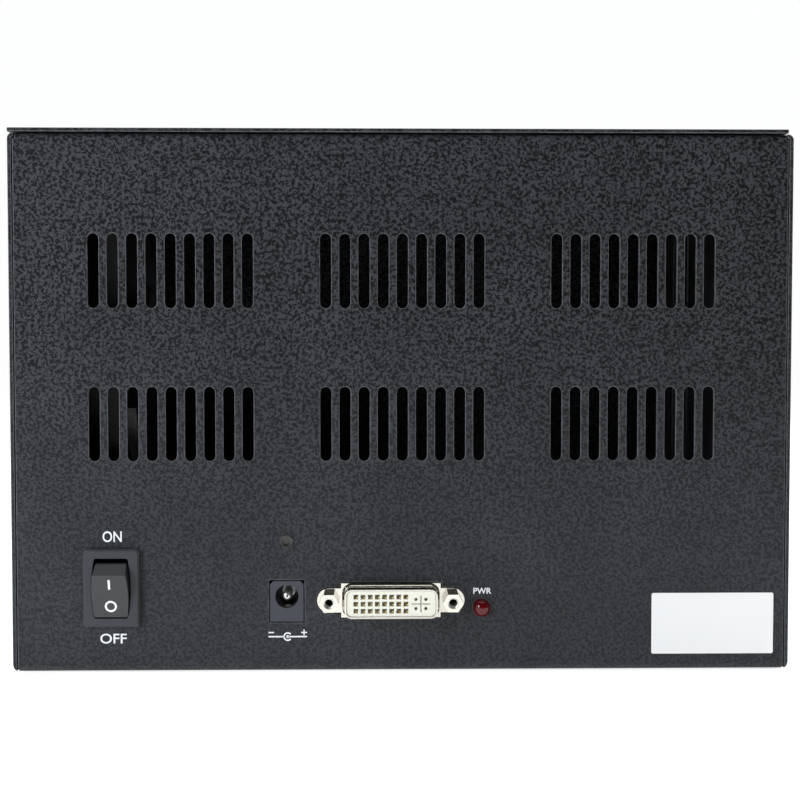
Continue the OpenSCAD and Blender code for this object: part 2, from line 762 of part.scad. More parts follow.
module power_inductors() color([0.28, 0.28, 0.3]) for (share = coil_x_shares)
    translate([board_left + share * board_w, chip_y, board_top])
        linear_extrude(coil_h) round_rect(coil_w, coil_w, 0.15 * coil_w);

module regulators() color(black) for (share = regulator_x_shares)
    translate([board_left + share * board_w, chip_y, board_top]) {
        block(-regulator_w / 2, regulator_w / 2, -0.45 * regulator_w, 0.45 * regulator_w, 0, regulator_h);
        block(-0.4 * regulator_w, 0.4 * regulator_w, 0.4 * regulator_w, 0.7 * regulator_w, 0, 0.25 * regulator_h);
    }

// Link receptacle

link_z = board_top + link_rise;
link_plate_w = 27;
link_plate_h = 9.4;
link_plate_t = 1;
link_ear_h = 6.7;
link_set_back = 0.2;
link_face_y = front_y + link_set_back;
link_cut_gap = 0.3;
link_wall = 0.5;
link_corner_r = 1.9;
link_body_l = 12;
link_body_h = link_z + link_shell_h / 2 - board_top;
link_hex = 4.75;
link_hex_l = 5;
link_rows = 3;
link_cols = 8;
link_hole_w = 1.25;
link_first_share = 0.395;
link_cross_share = 0.334;

// The face plate's outline, grown by a gap: a rectangle with an ear for each jack screw
module link_plate_outline(gap) {
    x = link_plate_w / 2 + gap;
    y = link_plate_h / 2 + gap;
    ear = link_ear_h / 2 + gap;
    right = concat([[x, y], [x, ear]], arc(link_screw_pitch / 2, 0, ear, 90, -90, 2 * bend_steps),
        [[x, -ear], [x, -y]]);
    polygon(concat(right, [for (p = right) [-p[0], -p[1]]]));
}

module link_shell() color(nickel) on_front(link_x, link_face_y, link_z) difference() {
    union() {
        translate([0, 0, -link_plate_t]) linear_extrude(link_plate_t) link_plate_outline(0);
        linear_extrude(link_shell_l) round_rect(link_shell_w, link_shell_h, link_corner_r);
        translate([-link_plate_w / 2, -link_rise, -link_body_l])
            cube([link_plate_w, link_body_h, link_body_l - 0.85 * link_plate_t]);
    }
    translate([0, 0, -link_body_l + link_wall]) linear_extrude(link_body_l + link_shell_l)
        round_rect(link_shell_w - 2 * link_wall, link_shell_h - 2 * link_wall, link_corner_r - link_wall);
    for (side = [-1, 1]) translate([side * link_screw_pitch / 2, 0, -link_plate_t - over])
        cylinder(r = link_thread_r + 0.7 * link_wall + fit_gap, h = link_plate_t + 2 * over);
}

// The insulator with its rows of contact holes and the cross of the coaxial contacts
module link_insulator() color(cream) on_front(link_x, link_face_y, link_z) {
    w = link_shell_w - 2 * link_wall - 2 * fit_gap;
    h = link_shell_h - 2 * link_wall - 2 * fit_gap;
    depth = 0.5 * link_shell_l;
    face = link_shell_l - 0.5 * link_wall;
    cross_x = link_cross_share * w;
    difference() {
        translate([0, 0, -link_body_l + link_wall + fit_gap])
            linear_extrude(link_body_l - link_wall - fit_gap + face)
                round_rect(w, h, link_corner_r - link_wall);
        for (col = [0:link_cols - 1], row = [-1:1])
            translate([-link_first_share * w + col * link_contact_pitch, row * link_contact_pitch, face])
                cube([link_hole_w, link_hole_w, 2 * depth], center = true);
        translate([cross_x, 0, face]) {
            cube([2.6 * link_contact_pitch, 0.2 * link_hole_w, depth], center = true);
            cube([0.2 * link_hole_w, 2.3 * link_contact_pitch, depth], center = true);
            for (x = [-1, 1], y = [-1, 1])
                translate([0.7 * x * link_contact_pitch, 0.65 * y * link_contact_pitch, -depth])
                    cylinder(d = 0.7 * link_hole_w, h = depth + over, $fn = 16);
        }
    }
}

module link_jackscrews() color(nickel) on_front(link_x, link_face_y, link_z) for (side = [-1, 1])
    translate([side * link_screw_pitch / 2, 0, 0]) difference() {
        union() {
            intersection() {
                hexagon(link_hex, link_hex_l);
                cylinder(r1 = link_hex, r2 = 0.46 * link_hex, h = 2.2 * link_hex_l);
            }
            translate([0, 0, -link_hex_l]) cylinder(r = link_thread_r + 0.7 * link_wall, h = link_hex_l + over);
        }
        translate([0, 0, -link_hex_l - over]) cylinder(r = link_thread_r, h = 2 * link_hex_l + 2 * over);
    }

// Power jack

jack_cut_gap = 0.3;
jack_cut_w = jack_w + 2 * jack_cut_gap;
jack_cut_h = jack_h + 2 * jack_cut_gap;
jack_mid_z = board_top + jack_h / 2;
jack_bore_z = board_top + jack_bore_rise;
jack_chamfer = 0.9;
jack_rivet_r = 1.75;
jack_rivet_l = 1.8;
jack_pin_short = 0.6;
spring_w = 2;
spring_t = 0.3;

module power_jack() color(black) on_front(jack_x, front_y, board_top) difference() {
    half = jack_w / 2;
    translate([0, 0, -jack_l]) linear_extrude(jack_l)
        polygon([[-half, 0], [half, 0], [half, jack_h - jack_chamfer], [half - jack_chamfer, jack_h],
            [jack_chamfer - half, jack_h], [-half, jack_h - jack_chamfer]]);
    translate([0, jack_bore_rise, -jack_bore_l]) cylinder(r = jack_bore_r, h = jack_bore_l + over);
    translate([0, jack_bore_rise, -jack_bore_l - jack_rivet_l - fit_gap])
        cylinder(r = jack_rivet_r + fit_gap, h = jack_rivet_l + fit_gap + over);
    translate([0, jack_bore_rise - jack_bore_r, -jack_bore_l / 2 - spring_w])
        cube([spring_w + 2 * fit_gap, 4 * spring_t, jack_bore_l], center = true);
}

module power_jack_pin() color(nickel) on_front(jack_x, front_y, jack_bore_z) {
    tip = -jack_pin_short - jack_pin_r;
    translate([0, 0, -jack_bore_l - jack_rivet_l]) cylinder(r = jack_rivet_r, h = jack_rivet_l);
    translate([0, 0, -jack_bore_l]) cylinder(r = jack_pin_r, h = jack_bore_l + tip);
    translate([0, 0, tip]) sphere(r = jack_pin_r);
}

module power_jack_spring() color(nickel) on_front(jack_x, front_y, jack_bore_z)
    translate([-spring_w / 2, -jack_bore_r - 1.6 * spring_t, -0.88 * jack_bore_l - spring_w / 2]) {
        cube([spring_w, spring_t, 0.76 * jack_bore_l]);
        translate([spring_w / 2, 1.2 * spring_t, 0.5 * jack_bore_l])
            rotate([0, 90, 0]) cylinder(r = spring_t, h = 0.9 * spring_w, center = true);
    }

// Power lamp

lamp_r = 2.4;
lamp_gap = 0.1;
lamp_rim = 0.4;
lamp_rim_t = 1;
lamp_z = board_top + lamp_rise;
lead_w = 0.5;

module power_lamp() color([0.45, 0.03, 0.04]) on_front(lamp_x, panel_in, lamp_z) {
    translate([0, 0, -2 * lamp_rim_t]) cylinder(r = lamp_r + lamp_rim, h = lamp_rim_t);
    translate([0, 0, -1.5 * lamp_rim_t]) cylinder(r = lamp_r, h = 1.5 * lamp_rim_t + sheet_t);
    intersection() {
        translate([0, 0, sheet_t]) sphere(r = lamp_r - fit_gap);
        translate([-lamp_r, -lamp_r, 0]) cube([2 * lamp_r, 2 * lamp_r, 2 * lamp_r]);
    }
}

module lamp_leads() color(zinc) for (side = [-1, 1]) {
    x = lamp_x + side * 0.53 * lamp_r;
    y = panel_in + 2 * lamp_rim_t;
    bend = 3 * lamp_rim_t;
    block(x - lead_w / 2, x + lead_w / 2, y, y + bend, lamp_z - lead_w / 2, lamp_z + lead_w / 2);
    block(x - lead_w / 2, x + lead_w / 2, y + bend - lead_w, y + bend, board_top, lamp_z);
}

// Rocker switch

switch_cut_w = 13.2;
switch_cut_h = 19.4;
switch_box_gap = 0.2;
switch_box_l = 13;
switch_wall = 0.8;
mouth_w = 10.5;
mouth_end_w = 9;
mouth_h = 16.2;
mouth_corner = 0.6;
mouth_lip = 1;
rocker_w = 9.7;
rocker_end_w = 8.2;
rocker_shoulder = [3.05, 7.85];
rocker_back = [1.2, 2.6];
pivot_y = front_y - bezel_t + rocker_arm * cos(rocker_tilt) - rocker_face * sin(rocker_tilt);
blade_w = 4.8;
blade_len = 8;
blade_th = 0.8;
terminal_zs_shares = [-0.28, 0.1];

// Half the width of a barrel shape at a height z, for its middle and end widths
function barrel(z, mid, end, reach) = mid / 2 - (mid - end) / 2 * pow(z / reach, 2);

// A barrel with round corners: its sides bulge and its ends are straight
module barrel_outline(mid, end, h, r) {
    straight = h / 2 - r;
    side = [for (i = [-4:4]) let (z = straight * i / 4) [barrel(z, mid, end, h / 2), z]];
    corner = arc(barrel(straight, mid, end, h / 2) - r, straight, r, 15, 90, 4);
    right = concat([for (p = reversed(corner)) [p[0], -p[1]]], side, corner);
    polygon(concat(right, [for (p = reversed(right)) [-p[0], p[1]]]));
}

module switch_body() color([0.2, 0.2, 0.22]) on_front(switch_x, front_y, switch_z) {
    box_w = switch_cut_w - 2 * switch_box_gap;
    box_h = switch_cut_h - 2 * switch_box_gap;
    difference() {
        union() {
            linear_extrude(0.7 * bezel_t) round_rect(bezel_w, bezel_h, 0.6 * bezel_t);
            linear_extrude(bezel_t) round_rect(bezel_w - 0.4 * bezel_t, bezel_h - 0.4 * bezel_t, 0.5 * bezel_t);
            translate([-box_w / 2, -box_h / 2, -switch_box_l]) cube([box_w, box_h, switch_box_l + over]);
        }
        translate([0, 0, bezel_t - mouth_lip - over]) linear_extrude(mouth_lip + 2 * over)
            barrel_outline(mouth_w, mouth_end_w, mouth_h, mouth_corner);
        translate([switch_wall - box_w / 2, switch_wall - box_h / 2, switch_wall - switch_box_l])
            cube([box_w - 2 * switch_wall, box_h - 2 * switch_wall,
                switch_box_l - switch_wall + bezel_t - mouth_lip]);
        translate([0, 0, front_y - pivot_y]) rotate([0, 90, 0])
            cylinder(r = rocker_pin_r + fit_gap, h = box_w + 2 * over, center = true);
        for (share = terminal_zs_shares) translate([0, share * bezel_h, -switch_box_l])
            cube([blade_w + 2 * fit_gap, blade_th + 2 * fit_gap, 3 * switch_wall], center = true);
    }
    for (side = [-1, 1]) translate([0, side * box_h / 2, -1.6 * sheet_t]) rotate([0, 0, side < 0 ? 180 : 0])
        rotate([90, 0, 90]) translate([0, 0, -0.2 * box_w]) linear_extrude(0.4 * box_w)
            polygon([[-over, 0], [2 * switch_box_gap, 0], [-over, -3 * sheet_t]]);
}

// The rocker's side view in Y and Z about its pivot, before it is tilted
module rocker_outline() {
    s = rocker_shoulder;
    b = rocker_back;
    polygon([[-rocker_arm, -rocker_face], [-rocker_arm + 0.02 * rocker_arm, 0], [-rocker_arm, rocker_face],
        [-s[0], s[1]], [0, s[1] - b[0]], [b[0], b[1]], [b[0], -b[1]], [0, b[0] - s[1]], [-s[0], -s[1]]]);
}

module switch_rocker() color([0.23, 0.23, 0.25]) translate([switch_x, pivot_y, switch_z])
    rotate([rocker_tilt, 0, 0]) {
        intersection() {
            along_x(-rocker_w / 2, rocker_w) rocker_outline();
            translate([0, 2 * rocker_arm, 0]) rotate([90, 0, 0]) linear_extrude(4 * rocker_arm)
                barrel_outline(rocker_w, rocker_end_w, 2 * rocker_shoulder[1] + 2 * over, mouth_corner);
        }
        rotate([0, 90, 0])
            cylinder(r = rocker_pin_r, h = switch_cut_w - 2 * switch_box_gap - switch_wall, center = true);
    }

module switch_terminals() color(brass) on_front(switch_x, front_y, switch_z)
    for (share = terminal_zs_shares) translate([0, share * bezel_h, -switch_box_l - blade_len / 2 + switch_wall])
        cube([blade_w, blade_th, blade_len + switch_wall], center = true);

// Leads and headers

header_h = 6;
header_w = 5.8;
wire_r = 0.8;
switch_header_shares = [0.005, 0.2];
fan_header_shares = [0.03, 0.68];

function header_place(share, w) = [board_left + w / 2 + share[0] * (board_w - w),
    board_front + header_w / 2 + share[1] * (board_d - header_w)];

// A lead header, seen from above: a shroud with its pins
module header(place, pins) {
    w = header_w;
    l = (pins + 1) * 2 * wire_r * 1.4;
    translate([place[0], place[1], board_top]) difference() {
        block(-w / 2, w / 2, -l / 2, l / 2, 0, header_h);
        block(-0.3 * w, 0.3 * w, -0.4 * l, 0.4 * l, 0.4 * header_h, header_h + over);
    }
}

switch_header_at = header_place(switch_header_shares, header_w);
fan_header_at = header_place(fan_header_shares, header_w);

module switch_header() color(cream) header(switch_header_at, 2);
module fan_header() color(cream) header(fan_header_at, 3);

function unit(v) = v / norm(v);
function bend_point(p, i) = i == 0 ? p[1] - p[0] : i == len(p) - 1 ? p[i] - p[i - 1] : p[i + 1] - p[i - 1];

// A round tube along a list of points
module tube(points, r, sides = 8) {
    lean = [0.31, 0.17, 0.94];
    rings = [for (i = [0:len(points) - 1])
        let (t = unit(bend_point(points, i)), u = unit(cross(t, lean)), v = cross(t, u))
        for (k = [0:sides - 1]) points[i] + r * cos(360 * k / sides) * u + r * sin(360 * k / sides) * v];
    n = len(points);
    polyhedron(points = rings, faces = concat(
        [[for (k = [0:sides - 1]) k]],
        [for (i = [0:n - 2], k = [0:sides - 1]) let (a = i * sides, b = a + sides, m = (k + 1) % sides)
            [a + k, b + k, b + m, a + m]],
        [[for (k = [sides - 1:-1:0]) (n - 1) * sides + k]]));
}

// A smooth curve through three spans: out of the start, across and down into the end
function curve(a, b, c, d, steps = 12) = [for (i = [0:steps]) let (t = i / steps, s = 1 - t)
    s * s * s * a + 3 * s * s * t * b + 3 * s * t * t * c + t * t * t * d];

module switch_wires() color([0.7, 0.08, 0.08]) for (i = [0, 1]) {
    start = [switch_x, front_y + switch_box_l + blade_len + fit_gap, switch_z + terminal_zs_shares[i] * bezel_h];
    end = [switch_header_at[0], switch_header_at[1] + (i - 0.5) * 3 * wire_r, board_top + 0.45 * header_h];
    tube(curve(start, start + [0, blade_len, 0], end + [0, 0, 2.6 * blade_len], end + [0, 0, header_h]), wire_r);
}

module fan_wires() color([0.75, 0.6, 0.1]) for (i = [-1:1]) {
    start = [fan_wall + fan_t + 0.3 * wire_r, 0.42 * fan_size + 2.2 * i * wire_r, fan_z - 0.45 * fan_size];
    end = [fan_header_at[0], fan_header_at[1] + 2.4 * i * wire_r, board_top + 0.45 * header_h];
    tube(curve(start, start + [1.4 * header_w, 0, 0], end + [0, 0, 3.5 * header_h],
        end + [0, 0, header_h]), wire_r);
}

// Earth stud, its head painted over with the panel

stud_head_r = 1.6;
stud_l = 11;

module earth_stud() color(paint) on_front(jack_x, front_y, stud_z) {
    translate([0, 0, -sheet_t]) cylinder(r = stud_head_r, h = sheet_t);
    translate([0, 0, -stud_l]) cylinder(r = screw_r, h = stud_l - 0.5 * sheet_t);
}

module earth_nut() color(zinc) on_front(jack_x, panel_in + nut_h, stud_z) difference() {
    union() {
        hexagon(nut_flats, 0.8 * nut_h);
        translate([0, 0, 0.8 * nut_h - over]) cylinder(r = 0.6 * nut_flats, h = 0.2 * nut_h + over);
    }
    translate([0, 0, -over]) cylinder(r = screw_r + fit_gap, h = nut_h + 2 * over);
}

chassis_tray();
cover();
cover_screws();
cover_nuts();
card_frame();
slot_cover(1);  // slot_cover_1
slot_cover(2);  // slot_cover_2
slot_cover(3);  // slot_cover_3
slot_cover(4);  // slot_cover_4
slot_screws();
fan_frame();
fan_bearing();
fan_stator();
fan_rotor();
fan_magnet();
fan_shaft();
fan_screws();
backplane_board();
board_standoffs();
board_screws();
card_socket(1);  // card_socket_1
card_socket(2);  // card_socket_2
card_socket(3);  // card_socket_3
card_socket(4);  // card_socket_4
bridge_chip();
bridge_heatsink();
capacitors();
power_inductors();
regulators();
link_shell();
link_insulator();
link_jackscrews();
power_jack();
power_jack_pin();
power_jack_spring();
power_lamp();
lamp_leads();
switch_body();
switch_rocker();
switch_terminals();
switch_header();
switch_wires();
fan_header();
fan_wires();
earth_stud();
earth_nut();
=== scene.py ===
"""The looks of a folded steel expansion chassis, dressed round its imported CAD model."""
import math
import random

import bmesh
import bpy
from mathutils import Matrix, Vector


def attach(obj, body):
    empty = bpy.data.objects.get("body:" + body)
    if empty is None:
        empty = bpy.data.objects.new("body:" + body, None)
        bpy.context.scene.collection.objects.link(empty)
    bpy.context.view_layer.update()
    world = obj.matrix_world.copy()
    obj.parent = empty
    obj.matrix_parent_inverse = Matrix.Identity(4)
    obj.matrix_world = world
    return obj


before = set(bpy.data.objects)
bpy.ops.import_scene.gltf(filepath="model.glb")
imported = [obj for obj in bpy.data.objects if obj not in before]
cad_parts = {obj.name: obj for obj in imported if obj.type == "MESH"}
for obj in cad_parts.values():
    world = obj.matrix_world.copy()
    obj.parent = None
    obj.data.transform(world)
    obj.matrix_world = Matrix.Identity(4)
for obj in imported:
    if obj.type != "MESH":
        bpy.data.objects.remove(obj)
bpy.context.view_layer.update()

MM = 0.001

# Sizes and places in millimetres, as the CAD model has them
FRONT_Y = -59.0
SWITCH_X, SWITCH_Z = -78.2, 23.0
ROCKER_TILT = math.radians(15)
ROCKER_ARM, ROCKER_FACE, BEZEL_T = 7.15, 6.05, 1.8
PIVOT_Y = FRONT_Y - BEZEL_T + ROCKER_ARM * math.cos(ROCKER_TILT) - ROCKER_FACE * math.sin(ROCKER_TILT)
JACK_X, JACK_Z = -31.2, 20.4
LINK_X, LINK_Z, LINK_PITCH = -3.1, 19.25, 1.905
LINK_SCREW_X = 16.65
SHELL_W, SHELL_H, SHELL_R = 24.9, 7.8, 1.9
LAMP_X, LAMP_Z = 21.5, 17.2
STUD_Z = 35.5
BOARD_LEFT, BOARD_FRONT, BOARD_W, BOARD_D = -62.0, -57.2, 147.0, 112.0
BOARD_TOP, BOARD_T = 13.6, 1.6
CARD_PITCH, CARD_MID_Y = 20.32, -4.5
CARD_Y = [CARD_MID_Y + (i - 1.5) * CARD_PITCH for i in range(4)]
SOCKET_X0, SOCKET_X1, SOCKET_H = -42.8, 46.2, 11.25
CAN_R, CAN_SHARES = 4.0, ((0.12, 0.05), (0.05, 0.19), (0.05, 0.3), (0.05, 0.41), (0.05, 0.52))
FAN_X, FAN_Z, HUB_R = -104.0, 86.0, 17.5
# The end of each set of leads: name, place over its header, number of leads and their spacing
LEAD_PLUGS = (("fan_lead_plug", -54.86, 17.92, 3, 1.92), ("switch_lead_plug", -58.39, -33.06, 2, 2.4))

# Thickness of what is printed or stuck on the case
PRINT_T, LABEL_T = 0.04, 0.12


# ---------------------------------------------------------------- shader building blocks

def socket(tree, kind, name, way, default=None):
    """A named input or output on a group's face."""
    s = tree.interface.new_socket(name=name, in_out=way, socket_type=kind)
    if default is not None:
        s.default_value = default
    return s


class Nodes:
    """Short calls for building one node tree."""

    def __init__(self, tree):
        self.tree = tree

    def new(self, kind, **values):
        n = self.tree.nodes.new(kind)
        for key, value in values.items():
            setattr(n, key, value)
        return n

    def join(self, a, b):
        self.tree.links.new(a, b)

    def put(self, value, target):
        if isinstance(value, bpy.types.NodeSocket):
            self.join(value, target)
        elif value is not None:
            target.default_value = value

    def math(self, op, a, b=None, c=None, clamp=False):
        n = self.new("ShaderNodeMath", operation=op, use_clamp=clamp)
        for value, target in zip((a, b, c), n.inputs):
            self.put(value, target)
        return n.outputs[0]

    def vector(self, op, a, b=None, scale=None):
        n = self.new("ShaderNodeVectorMath", operation=op)
        self.put(a, n.inputs[0])
        self.put(b, n.inputs[1])
        if scale is not None:
            self.put(scale, n.inputs["Scale"])
        return n.outputs["Value"] if op in ("LENGTH", "DOT_PRODUCT") else n.outputs[0]

    def mix(self, share, a, b):
        n = self.new("ShaderNodeMix", data_type="RGBA")
        self.put(share, n.inputs["Factor"])
        self.put(a, n.inputs["A"])
        self.put(b, n.inputs["B"])
        return n.outputs["Result"]

    def range(self, value, low, high, to_low=0.0, to_high=1.0, smooth=True):
        n = self.new("ShaderNodeMapRange", interpolation_type="SMOOTHSTEP" if smooth else "LINEAR")
        keys = ("Value", "From Min", "From Max", "To Min", "To Max")
        for key, number in zip(keys, (value, low, high, to_low, to_high)):
            self.put(number, n.inputs[key])
        return n.outputs["Result"]

    def noise(self, place, scale, detail=2.0, rough=0.5, lean=0.0):
        n = self.new("ShaderNodeTexNoise")
        self.put(place, n.inputs["Vector"])
        self.put(scale, n.inputs["Scale"])
        self.put(detail, n.inputs["Detail"])
        self.put(rough, n.inputs["Roughness"])
        self.put(lean, n.inputs["Distortion"])
        return n.outputs["Fac"]

    def cells(self, place, scale, feature="F1", distance="EUCLIDEAN", jitter=1.0):
        n = self.new("ShaderNodeTexVoronoi", feature=feature, distance=distance)
        self.put(place, n.inputs["Vector"])
        self.put(scale, n.inputs["Scale"])
        self.put(jitter, n.inputs["Randomness"])
        return n.outputs["Distance"]

    def wave(self, place, scale, axis="X", distort=0.0):
        n = self.new("ShaderNodeTexWave", wave_type="BANDS", bands_direction=axis)
        self.put(place, n.inputs["Vector"])
        self.put(scale, n.inputs["Scale"])
        self.put(distort, n.inputs["Distortion"])
        return n.outputs["Fac"]

    def bump(self, height, strength=1.0, depth=MM, base=None):
        n = self.new("ShaderNodeBump")
        n.inputs["Strength"].default_value = strength
        n.inputs["Distance"].default_value = depth
        self.put(height, n.inputs["Height"])
        self.put(base, n.inputs["Normal"])
        return n.outputs["Normal"]


def shared(name, inputs, outputs, build):
    """A shader node group with named inputs and outputs, built once."""
    tree = bpy.data.node_groups.new(name, "ShaderNodeTree")
    for key, kind, default in inputs:
        socket(tree, kind, key, "INPUT", default)
    for key, kind in outputs:
        socket(tree, kind, key, "OUTPUT")
    n = Nodes(tree)
    start = n.new("NodeGroupInput")
    end = n.new("NodeGroupOutput")
    for key, value in build(n, start.outputs).items():
        n.put(value, end.inputs[key])
    return tree


def speckle_build(n, given):
    """Dark flecks in a sprayed coat: wide patches broken up by small ones."""
    wide = n.noise(given["Place"], given["Scale"], 2.0, 0.62, 0.3)
    small = n.noise(given["Place"], n.math("MULTIPLY", given["Scale"], 2.3), 1.5, 0.55)
    both = n.math("ADD", n.math("MULTIPLY", wide, 0.68), n.math("MULTIPLY", small, 0.32))
    low = n.math("SUBTRACT", given["Cover"], given["Edge"])
    high = n.math("ADD", given["Cover"], given["Edge"])
    return {"Mask": n.range(both, low, high), "Height": both}


def grain_build(n, given):
    """Fine long streaks along one axis, as a rolling mill or a brush leaves."""
    stretched = n.vector("MULTIPLY", given["Place"], given["Stretch"])
    fine = n.noise(stretched, given["Scale"], 3.0, 0.6)
    cloud = n.noise(given["Place"], 0.06, 2.0, 0.5)
    return {"Fine": fine, "Cloud": cloud}


def wear_build(n, given):
    """Handling marks: a soft cloud of smears with a few fine flecks."""
    smear = n.noise(given["Place"], given["Scale"], 4.0, 0.65, 0.6)
    fleck = n.cells(given["Place"], n.math("MULTIPLY", given["Scale"], 22.0))
    return {"Smear": n.range(smear, 0.42, 0.72), "Fleck": n.range(fleck, 0.055, 0.02)}


SPECKLE = shared("coat_speckle", [("Place", "NodeSocketVector", None), ("Scale", "NodeSocketFloat", 1.0),
    ("Cover", "NodeSocketFloat", 0.5), ("Edge", "NodeSocketFloat", 0.03)],
    [("Mask", "NodeSocketFloat"), ("Height", "NodeSocketFloat")], speckle_build)
GRAIN = shared("metal_grain", [("Place", "NodeSocketVector", None), ("Stretch", "NodeSocketVector", None),
    ("Scale", "NodeSocketFloat", 1.0)],
    [("Fine", "NodeSocketFloat"), ("Cloud", "NodeSocketFloat")], grain_build)
WEAR = shared("handling_wear", [("Place", "NodeSocketVector", None), ("Scale", "NodeSocketFloat", 0.05)],
    [("Smear", "NodeSocketFloat"), ("Fleck", "NodeSocketFloat")], wear_build)


def use(n, tree, **given):
    """The outputs of a shared group, set in this tree with the given inputs."""
    g = n.new("ShaderNodeGroup", node_tree=tree)
    for key, value in given.items():
        n.put(value, g.inputs[key])
    return g.outputs


def shade(tint, factor, lift=0.0):
    """A tint made darker or paler, and no brighter than white."""
    return [min(1, c * factor + lift) for c in tint[:3]] + [1]


def start_material(name):
    """A material with its shader and its place in object space, in millimetres."""
    m = bpy.data.materials.new(name)
    m.use_nodes = True
    n = Nodes(m.node_tree)
    shader = next(x for x in m.node_tree.nodes if x.type == "BSDF_PRINCIPLED")
    place = n.vector("SCALE", n.new("ShaderNodeTexCoord").outputs["Object"], scale=1 / MM)
    return m, n, shader, place


def rounded_edges(n, radius_mm):
    """Normals turned as if each edge had this radius."""
    b = n.new("ShaderNodeBevel", samples=4)
    b.inputs["Radius"].default_value = radius_mm * MM
    return b.outputs["Normal"]


def edge_share(n, round_normal, low, high):
    """How near a point lies to a sharp edge, from the turn of the rounded normal."""
    square = n.vector("DOT_PRODUCT", n.new("ShaderNodeNewGeometry").outputs["Normal"], round_normal)
    return n.range(square, high, low)


def finish_shader(n, shader, color=None, rough=None, normal=None, metal=None, **sockets):
    """What the shader's main sockets take; others are named with _ for each space."""
    n.put(color, shader.inputs["Base Color"])
    n.put(rough, shader.inputs["Roughness"])
    n.put(normal, shader.inputs["Normal"])
    n.put(metal, shader.inputs["Metallic"])
    for key, value in sockets.items():
        shader.inputs[key.replace("_", " ")].default_value = value


def mottled_coat(name, light, dark, flecks=0.5):
    """Sprayed two-tone powder coat with an orange-peel skin; the flecks soften towards the base as painted
    light, and sharp edges get a painted highlight.
    """
    m, n, shader, place = start_material(name)
    spots = use(n, SPECKLE, Place=place, Scale=1.15, Cover=flecks, Edge=0.05)
    wear = use(n, WEAR, Place=place, Scale=0.03)
    broad = n.noise(place, 0.035, 2.0, 0.5)
    pale = n.mix(n.range(broad, 0.35, 0.65), light, shade(light, 0.86))
    height = n.new("ShaderNodeSeparateXYZ")
    n.join(place, height.inputs[0])
    # Painted light: dark flecks fade halfway to the pale tone towards the base, standing in for the sheen
    # that washes the coat out low down.
    soft = n.range(height.outputs["Z"], 110.0, 10.0, 0.0, 0.5)
    color = n.mix(spots["Mask"], n.mix(soft, dark, pale), pale)
    color = n.mix(n.math("MULTIPLY", wear["Fleck"], 0.12), color, (0.32, 0.32, 0.31, 1))
    round_normal = rounded_edges(n, 0.42)
    # Painted highlight: sharp edges are painted paler, broken up by noise, where the rounded edges catch
    # the light.
    edge = n.math("MULTIPLY", edge_share(n, round_normal, 0.88, 0.99),
        n.range(n.noise(place, 0.7, 2.0, 0.6), 0.3, 0.55, 0.45, 1.0))
    color = n.mix(n.math("MULTIPLY", edge, 0.9), color, (0.24, 0.25, 0.265, 1))
    rough = n.range(wear["Smear"], 0.0, 1.0, 0.55, 0.66, smooth=False)
    peel = n.math("MULTIPLY", n.noise(place, 2.6, 2.0, 0.6), 0.35)
    relief = n.math("ADD", n.math("MULTIPLY", spots["Height"], 0.8), peel)
    normal = n.bump(relief, 0.45, 0.10 * MM, round_normal)
    finish_shader(n, shader, color, rough, normal, Specular_IOR_Level=0.14)
    return m


def plated(name, tint, tarnish, rough, stretch, edge=0.1, metal=1.0):
    """Plated or bare metal with mill grain along one axis and a faint cloud of tarnish."""
    m, n, shader, place = start_material(name)
    grain = use(n, GRAIN, Place=place, Stretch=stretch, Scale=1.0)
    wear = use(n, WEAR, Place=place, Scale=0.08)
    color = n.mix(n.range(grain["Cloud"], 0.35, 0.68), tint, tarnish)
    color = n.mix(n.math("MULTIPLY", wear["Smear"], 0.22), color, shade(tint, 0.72))
    roughness = n.range(grain["Fine"], 0.3, 0.75, rough - 0.06, rough + 0.09, smooth=False)
    normal = n.bump(grain["Fine"], 0.14, 0.02 * MM, rounded_edges(n, edge))
    finish_shader(n, shader, color, roughness, normal, metal)
    return m


def moulded(name, tint, rough, tooth=0.2, scale=3.2, edge=0.15, gloss=0.45, coat=0.0):
    """Moulded plastic with spark-eroded tooth, faint shade from handling and a painted highlight along its
    sharp edges.
    """
    m, n, shader, place = start_material(name)
    tooth_fac = n.noise(place, scale, 3.0, 0.6)
    wear = use(n, WEAR, Place=place, Scale=0.12)
    color = n.mix(n.math("MULTIPLY", wear["Smear"], 0.3), tint, shade(tint, 1.25, 0.004))
    color = n.mix(n.math("MULTIPLY", tooth_fac, 0.16), color, shade(tint, 0.6))
    round_normal = rounded_edges(n, edge)
    # Painted highlight: sharp edges are painted paler where they catch the light.
    painted_edge_highlight = n.math("MULTIPLY", edge_share(n, round_normal, 0.85, 0.99), 0.5)
    color = n.mix(painted_edge_highlight, color, shade(tint, 1.9, 0.03))
    roughness = n.range(wear["Smear"], 0.0, 1.0, rough, rough + 0.1, smooth=False)
    normal = n.bump(tooth_fac, tooth, 0.04 * MM, round_normal)
    finish_shader(n, shader, color, roughness, normal, Specular_IOR_Level=gloss, Coat_Weight=coat)
    return m


